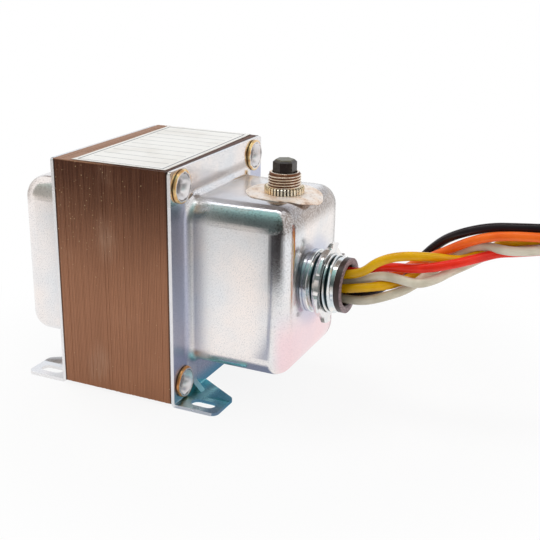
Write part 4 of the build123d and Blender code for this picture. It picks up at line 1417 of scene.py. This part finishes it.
LEADS: tuple[Lead, ...] = (
    Lead("lead_yellow_1", LeadColour.YELLOW, 222.5, (
        (38, -2.5, 49), (56, -2, 48), (74, -2.5, 48.5), (82, -2.5, 50.5), (87, -2.5, 55.5),
        (94.5, -1.5, 58.5), (105, 2.5, 58.5), (113, 7.5, 56.8), (119, 13, 58.3), (125.5, 15.5, 62.5),
        (132, 14, 65), (144, 16.5, 66.5), (158, 19, 66), (172, 21.5, 60.5), (182, 23.5, 49),
        (185.5, 25.5, 35), (182, 27.5, 21), (173.5, 28.5, 9.5), (164.5, 28.8, 2.7), (155.5, 29, 2),
    )),
    Lead("lead_yellow_2", LeadColour.YELLOW, 232.7, (
        (38, -4, 43.5), (56, -3, 43.5), (74, -3.5, 43.5), (82.5, -3.5, 45.5), (88, -2.5, 46.5),
        (94, 3.5, 46.9), (100.5, 11, 51), (109, 17.5, 57.5), (119, 20, 62.5), (132, 17.5, 67),
        (144, 19, 69.5), (159.5, 20, 69.3), (174.5, 21, 63.5), (185.5, 21, 50), (187.5, 22, 34.5),
        (182.5, 21.5, 21), (173.5, 18.5, 10.5), (164.5, 14.5, 2.8), (155.5, 12.5, 2),
    )),
    Lead("lead_white_1", LeadColour.WHITE, 232.6, (
        (38, 0.5, 45.5), (56, 0.5, 45), (74, 0.2, 45.3), (81, 0.3, 47), (88, -0.5, 50),
        (95, -2.5, 50.5), (101.5, -2.5, 49.5), (107, 0.5, 51), (111, 6, 53.1), (115.5, 12.7, 54.5),
        (122, 18, 58), (132, 17.5, 63), (144, 20.5, 66), (158.5, 23, 66.5), (173.5, 24.5, 62),
        (185.5, 25, 50), (189.3, 25.5, 34.5), (184.5, 25, 18.5), (175, 23, 7), (165.5, 20, 2.5),
        (156, 18.5, 1.9),
    )),
    Lead("lead_white_2", LeadColour.WHITE, 219.7, (
        (38, -1.5, 39), (56, -1.5, 40), (74, -1.5, 39.5), (82, -1.5, 39.5), (90, -1.5, 42.6),
        (98, 1.5, 46), (105, 8.5, 52.5), (112, 12.5, 58.3), (118.5, 12, 62.3), (125.5, 10.7, 62),
        (132, 10.3, 62), (144, 14, 63.8), (156.5, 18, 62), (168.5, 22, 56.5), (178, 26, 47),
        (182.7, 29.5, 35.2), (181, 33, 21.5), (173, 37.5, 9.5), (164.5, 41.5, 2.8), (156, 44, 2),
    )),
    Lead("lead_red", LeadColour.RED, 220.6, (
        (38, 3, 49), (56, 2.5, 48), (74, 2.5, 48.3), (81, 4, 48.5), (88, 2.5, 52.5),
        (102, -1, 54.5), (113.5, 2, 57.5), (120.5, 8, 59), (125.5, 12, 60.3), (132, 14, 60.8),
        (144, 18, 62.5), (157, 22, 63), (170.5, 25.5, 58.5), (181.5, 27.5, 48), (186.5, 29.5, 34.5),
        (184, 31, 19.5), (174.5, 32, 7.5), (165, 33, 2.5), (155.5, 34, 1.9),
    )),
    Lead("lead_orange", LeadColour.ORANGE, 214.6, (
        (38, 5, 44), (56, 4, 44), (74, 4.5, 44), (81, 4.5, 44.2), (88, 5.5, 46.5),
        (96.5, 7.3, 52.8), (107, 9.5, 58.5), (115, 8.5, 63.5), (122.5, 9, 66.5), (132, 10.5, 67.6),
        (144, 12.5, 67.8), (157, 15, 65), (169.5, 18.5, 57.5), (178, 22, 46.5), (181, 25.5, 35),
        (178.5, 29.5, 23), (171.5, 34, 12), (164, 37.2, 3.2), (155.5, 38.8, 2.1),
    )),
    Lead("lead_black", LeadColour.BLACK, 223.2, (
        (38, 3, 40), (56, 2.5, 40.5), (74, 2.5, 40.5), (81, 4.5, 39.5), (88, 9.5, 43.5),
        (96, 12.5, 51), (104.5, 13, 61), (112.5, 11, 66), (122, 12, 69), (131, 14, 69.5),
        (144, 15, 70.5), (158.5, 16, 68.5), (172.5, 17.5, 61), (181.5, 19.5, 48), (183.5, 22, 35),
        (179, 23.5, 23), (171.5, 24.3, 13), (164.5, 24.5, 3.2), (156, 24, 2.1),
    )),
)


@dataclass
class LeadSet(Assembly):
    """The seven insulated leads and their stripped, twisted ends."""

    gauge: float = 3.3 * MM
    strip: float = 7.0 * MM
    strand: float = 0.27 * MM
    ring: float = 0.55 * MM
    strands: int = 7
    sunk: float = 1.5 * MM
    steps: int = 14
    lay: float = 1.2 * math.pi
    copper: Finish = WorkedMetal("bare_copper", tone(224, 146, 96), tone(164, 92, 54), rough=0.24)

    def build(self) -> None:
        """Build every lead with its end."""
        for lead in LEADS:
            route = [Vector(point) * MM for point in lead.route]
            end = self.twist(lead, route)
            self.wire(lead, route, end)

    def wire(self, lead: Lead, route: Sequence[Vector], end: bpy.types.Object) -> None:
        """Build one lead as a smooth round wire on its route.

        Args:
            lead: The lead.
            route: Its points in metres.
            end: The stripped end that goes with it; not used.
        """
        name = lead.node.replace("lead", "wire")
        curve = bpy.data.curves.new(name, "CURVE")
        curve.dimensions = "3D"
        curve.bevel_depth = self.gauge / 2
        curve.bevel_resolution = 6
        curve.resolution_u = 8
        curve.use_fill_caps = True
        spline = curve.splines.new("NURBS")
        spline.points.add(len(route) - 1)
        for knot, point in zip(spline.points, route):
            knot.co = (*point, 1.0)
        spline.order_u = 3
        spline.use_endpoint_u = True
        skin, shade = lead.colour.value
        slot = lead.colour.name.lower() + "_pvc"
        curve.materials.append(PvcSkin(slot, skin, shade).material())
        made = linked(name, curve)
        self.stand(made, slot, lead.node)
        LOG.info("laid %s, %.1f mm", name, lead.length)

    def twist(self, lead: Lead, route: Sequence[Vector]) -> bpy.types.Object:
        """Build a lead's stripped end as seven twisted strands.

        Args:
            lead: The lead.
            route: Its points in metres.

        Returns:
            The stripped end.
        """
        shape = bmesh.new()
        rise = (self.strip + self.sunk) / self.steps
        for count in range(self.strands):
            spot = Matrix.Translation((self.ring if count else 0.0, 0, 0))
            turn = Matrix.Rotation(math.tau * count / (self.strands - 1), 4, "Z")
            loop = bmesh.ops.create_circle(
                shape, cap_ends=False, radius=self.strand, segments=8, matrix=turn @ spot
            )
            edges = list({e for v in loop["verts"] for e in v.link_edges})
            bmesh.ops.spin(
                shape, geom=loop["verts"] + edges, cent=(0, 0, 0), axis=(0, 0, 1),
                dvec=(0, 0, rise), angle=self.lay, steps=self.steps, use_merge=False,
            )
        bmesh.ops.holes_fill(shape, edges=[e for e in shape.edges if e.is_boundary], sides=0)
        outward(shape)
        way = (route[-1] - route[-2]).normalized()
        lie = way.to_track_quat("Z", "Y").to_matrix().to_4x4()
        spot = Matrix.Translation(route[-1] - way * self.sunk)
        bmesh.ops.transform(shape, verts=shape.verts[:], matrix=spot @ lie)
        name = lead.node.replace("lead", "strands")
        return self.piece(name, shape, self.copper, "bare_copper", "lead_tips")


@dataclass
class Studio:
    """Camera, lamps, floor, reflecting cards and the white surround."""

    target: Point = (45.16 * MM, 0.0, 45.03 * MM)
    reach: float = 354.96 * MM
    azimuth: float = 24.34
    rise: float = 19.2
    roll: float = 0.92
    lens: float = 64.015
    ambient: float = 0.62
    floor_half: float = 6.0
    floor_drop: float = 0.15 * MM
    floor_tone: Colour = (0.86, 0.86, 0.86, 1.0)
    floor_glow: float = 0.88
    shadow: Zone = (0.08, 0.16)
    pale_y: Zone = (-0.1, -0.18)
    far_y: Zone = (-0.21, -0.28)
    fan: Spot = (0.058, -0.022)
    fan_start: Zone = (0.115, 0.15)
    fan_low: Zone = (-0.07, 0.0)
    fan_high: Zone = (0.1, -0.26)
    fan_slopes: Spot = (0.17, 3.0)
    trace: Zone = (0.014, 0.005)
    trace_from: Spot = (0.029, -0.0254)
    trace_slope: float = 0.452
    under_y: Zone = (0.045, 0.036)
    front_z: Zone = (0.12, 0.8)
    front_low: Zone = (0.035, 0.1)
    front_x: Zone = (-0.04, 0.04)
    front_left: Zone = (0.02, -0.03)
    front_edge: Spot = (-0.14, 0.185)
    front_slope: float = 0.28
    back_z: Zone = (0.36, 0.62)
    roof_front: Zone = (-0.2, -0.16)
    roof_back: Zone = (-0.05, 0.0)
    roof_glow: Colour = (5.0, 5.0, 5.0, 1.0)

    def build(self) -> None:
        """Set up the whole studio."""
        bpy.context.scene.view_settings.view_transform = "Standard"
        self.camera()
        self.surround()
        self.floor()
        self.lamps()
        self.cards()

    def camera(self) -> None:
        """Stand the camera where the photograph was taken from."""
        data = bpy.data.cameras.new("camera")
        data.sensor_fit = "HORIZONTAL"
        data.sensor_width = 36
        data.lens = self.lens
        data.clip_start = 0.01
        made = linked("camera", data)
        turn, lift = math.radians(self.azimuth), math.radians(self.rise)
        back = Vector((math.sin(turn) * math.cos(lift), -math.cos(turn) * math.cos(lift), math.sin(lift)))
        made.location = Vector(self.target) + back * self.reach
        made.rotation_mode = "QUATERNION"
        roll = Quaternion((0, 0, 1), math.radians(self.roll))
        made.rotation_quaternion = (-back).to_track_quat("-Z", "Y") @ roll
        bpy.context.scene.camera = made

    def seen(self, graph: Graph) -> Wire:
        """Tell the rays that should meet a white surround.

        Args:
            graph: The graph that needs it.

        Returns:
            1 for camera, glossy and transmission rays, else 0.
        """
        outs = graph.add("ShaderNodeLightPath").outputs
        straight, glossy = Wire(graph, outs["Is Camera Ray"]), Wire(graph, outs["Is Glossy Ray"])
        return straight.most(glossy).most(Wire(graph, outs["Is Transmission Ray"]))

    def surround(self) -> None:
        """Make the white surround that lights softly."""
        world = bpy.data.worlds.new("surround")
        world.use_nodes = True
        bpy.context.scene.world = world
        graph = Graph(world.node_tree)
        strength = self.ambient + (1.0 - self.ambient) * self.seen(graph)
        light = graph.node("ShaderNodeBackground", {}, {"Color": WHITE, "Strength": strength})
        graph.end(light, "ShaderNodeOutputWorld")

    def floor(self) -> None:
        """Lay a pale floor that keeps a soft shadow near the object."""
        material = blank("floor")
        graph = Graph(material.node_tree)
        x, y, _ = graph.axes(graph.place())
        away = ((x - self.target[0]) * (x - self.target[0]) + y * y).root()
        share = self.seen(graph) * (self.floor_glow + (1.0 - self.floor_glow) * away.fade(*self.shadow))
        pale = graph.node("ShaderNodeBsdfDiffuse", {}, {"Color": self.floor_tone})
        white = graph.node("ShaderNodeEmission", {}, {"Color": WHITE, "Strength": 1.0})
        graph.end(graph.node("ShaderNodeMixShader", {}, {0: share, 1: pale, 2: white}))
        shape = bmesh.new()
        bmesh.ops.create_grid(shape, x_segments=1, y_segments=1, size=self.floor_half)
        bmesh.ops.translate(shape, verts=shape.verts[:], vec=(0, 0, -self.floor_drop))
        self.sheet("floor", shape, material)

    def sheet(self, name: str, shape: bmesh.types.BMesh, material: bpy.types.Material) -> bpy.types.Object:
        """Make a flat stage piece.

        Args:
            name: Its name.
            shape: Its shape, which is freed.
            material: Its material.

        Returns:
            The piece.
        """
        mesh = meshed(name, shape)
        mesh.materials.append(material)
        made = linked(name, mesh)
        return made

    def lamps(self) -> None:
        """Hang a soft box above and a weaker one at the side."""
        self.lamp("key", (-0.2, 0.05, 0.68), size=0.24, power=1.5)
        self.lamp("side", (0.55, -0.25, 0.35), size=0.4, power=0.6)

    def lamp(self, name: str, spot: Point, size: float, power: float) -> None:
        """Hang one square soft box that faces the object and shows in no reflection.

        Args:
            name: Its name.
            spot: Where it hangs.
            size: Its side.
            power: Its power in watts.
        """
        data = bpy.data.lights.new(name, "AREA")
        data.size = size
        data.energy = power
        made = linked(name, data)
        made.location = spot
        made.rotation_euler = (Vector(self.target) - Vector(spot)).to_track_quat("-Z", "Y").to_euler()
        made.visible_glossy = False

    def cards(self) -> None:
        """Set out the shaded cards that only reflections show."""
        self.card("lying_card", (0.9, 0.275), (0.05, -0.2, 0.1 * MM), 0.0, self.lying_shade)
        self.card("front_card", (1.6, 1.35), (-0.1, -0.34, 0.68), math.pi / 2, self.front_shade)
        self.card("back_card", (1.6, 1.4), (-0.1, 0.5, 0.82), math.pi / 2, self.back_shade)
        self.card("under_card", (0.032, 0.09), (0.04, 0.0, 0.1 * MM), 0.0, self.under_shade)
        self.card("roof_card", (1.6, 0.86), (-0.1, 0.08, 1.5), 0.0, self.roof_shade)

    def lying_shade(self, graph: Graph) -> Wire:
        """Shade the floor grey far in front and dark at the front right.

        Args:
            graph: The card's graph.

        Returns:
            The colour.
        """
        x, y, _ = graph.axes(graph.place())
        aside, before = x - self.fan[0], self.fan[1] - y
        away = (aside * aside + before * before).root()
        low_edge = (aside - self.fan_slopes[0] * before).fade(*self.fan_low)
        high_edge = (aside - self.fan_slopes[1] * before).fade(*self.fan_high)
        side = away.fade(*self.fan_start) * low_edge * high_edge
        middle = self.trace_slope * (self.trace_from[1] - y)
        trace = abs(x - self.trace_from[0] - middle).fade(*self.trace)
        colour = graph.blend(0.2 * y.fade(*self.pale_y), WHITE, tone(176, 166, 158))
        colour = graph.blend(y.fade(*self.far_y), colour, tone(176, 172, 168))
        colour = graph.blend(0.9 * trace, colour, tone(150, 156, 176))
        return graph.blend(side, colour, tone(50, 45, 46))

    def under_shade(self, graph: Graph) -> Wire:
        """Shade the floor under the deeper cup."""
        y = graph.axes(graph.place())[1]
        return graph.blend(abs(y).fade(*self.under_y), WHITE, tone(126, 136, 158))

    def front_shade(self, graph: Graph) -> Wire:
        """Shade the room in front: pale at the floor, then dark, then pale teal above.

        Args:
            graph: The card's graph.

        Returns:
            The colour.
        """
        x, _, z = graph.axes(graph.place())
        colour = graph.blend(z.fade(*self.front_z), tone(86, 96, 95), tone(160, 204, 200))
        low = z.fade(*self.front_low).most(x.fade(*self.front_x))
        colour = graph.blend(low, tone(206, 200, 196), colour)
        edge = x - self.front_edge[0] + self.front_slope * (z - self.front_edge[1])
        left = edge.fade(*self.front_left)
        return graph.blend(0.65 * left, colour, tone(196, 194, 188))

    def back_shade(self, graph: Graph) -> Wire:
        """Shade the room behind from white below to brown above."""
        z = graph.axes(graph.place())[2]
        return graph.blend(z.fade(*self.back_z), tone(246, 250, 255), tone(138, 130, 125))

    def roof_shade(self, graph: Graph) -> Wire:
        """Shade the ceiling pale teal in front, white in a narrow band and brown behind.

        Args:
            graph: The card's graph.

        Returns:
            The colour.
        """
        y = graph.axes(graph.place())[1]
        colour = graph.blend(y.fade(*self.roof_front), tone(166, 206, 204), self.roof_glow)
        return graph.blend(y.fade(*self.roof_back), colour, tone(136, 128, 124))

    def card(
        self, name: str, size: Spot, spot: Point, tilt: float, shade: Callable[[Graph], Wire]
    ) -> None:
        """Set out one glowing card that only reflections show.

        Args:
            name: Its name.
            size: Its two sides.
            spot: Its middle.
            tilt: Its turn about X in radians.
            shade: The method that fills its colour.
        """
        material = blank(name)
        graph = Graph(material.node_tree)
        graph.end(graph.node("ShaderNodeEmission", {}, {"Color": shade(graph), "Strength": 1.0}))
        shape = bmesh.new()
        bmesh.ops.create_grid(shape, x_segments=1, y_segments=1, size=0.5)
        bmesh.ops.scale(shape, verts=shape.verts[:], vec=(size[0], size[1], 1))
        bmesh.ops.rotate(shape, verts=shape.verts[:], cent=(0, 0, 0), matrix=Matrix.Rotation(tilt, 3, "X"))
        bmesh.ops.translate(shape, verts=shape.verts[:], vec=spot)
        made = self.sheet(name, shape, material)
        made.visible_camera = False
        made.visible_diffuse = False
        made.visible_shadow = False
        made.visible_transmission = False


def main() -> None:
    """Build the object's looks and the studio."""
    logging.basicConfig(level=logging.INFO, format="%(name)s: %(message)s")
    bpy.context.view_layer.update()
    Studio().build()
    for assembly in (LeadSet(), CoreStack(), EndBells(), Hub(), Breaker(), Coil()):
        assembly.build()
        LOG.info("finished %s", type(assembly).__name__)


if __name__ == "__main__":
    main()
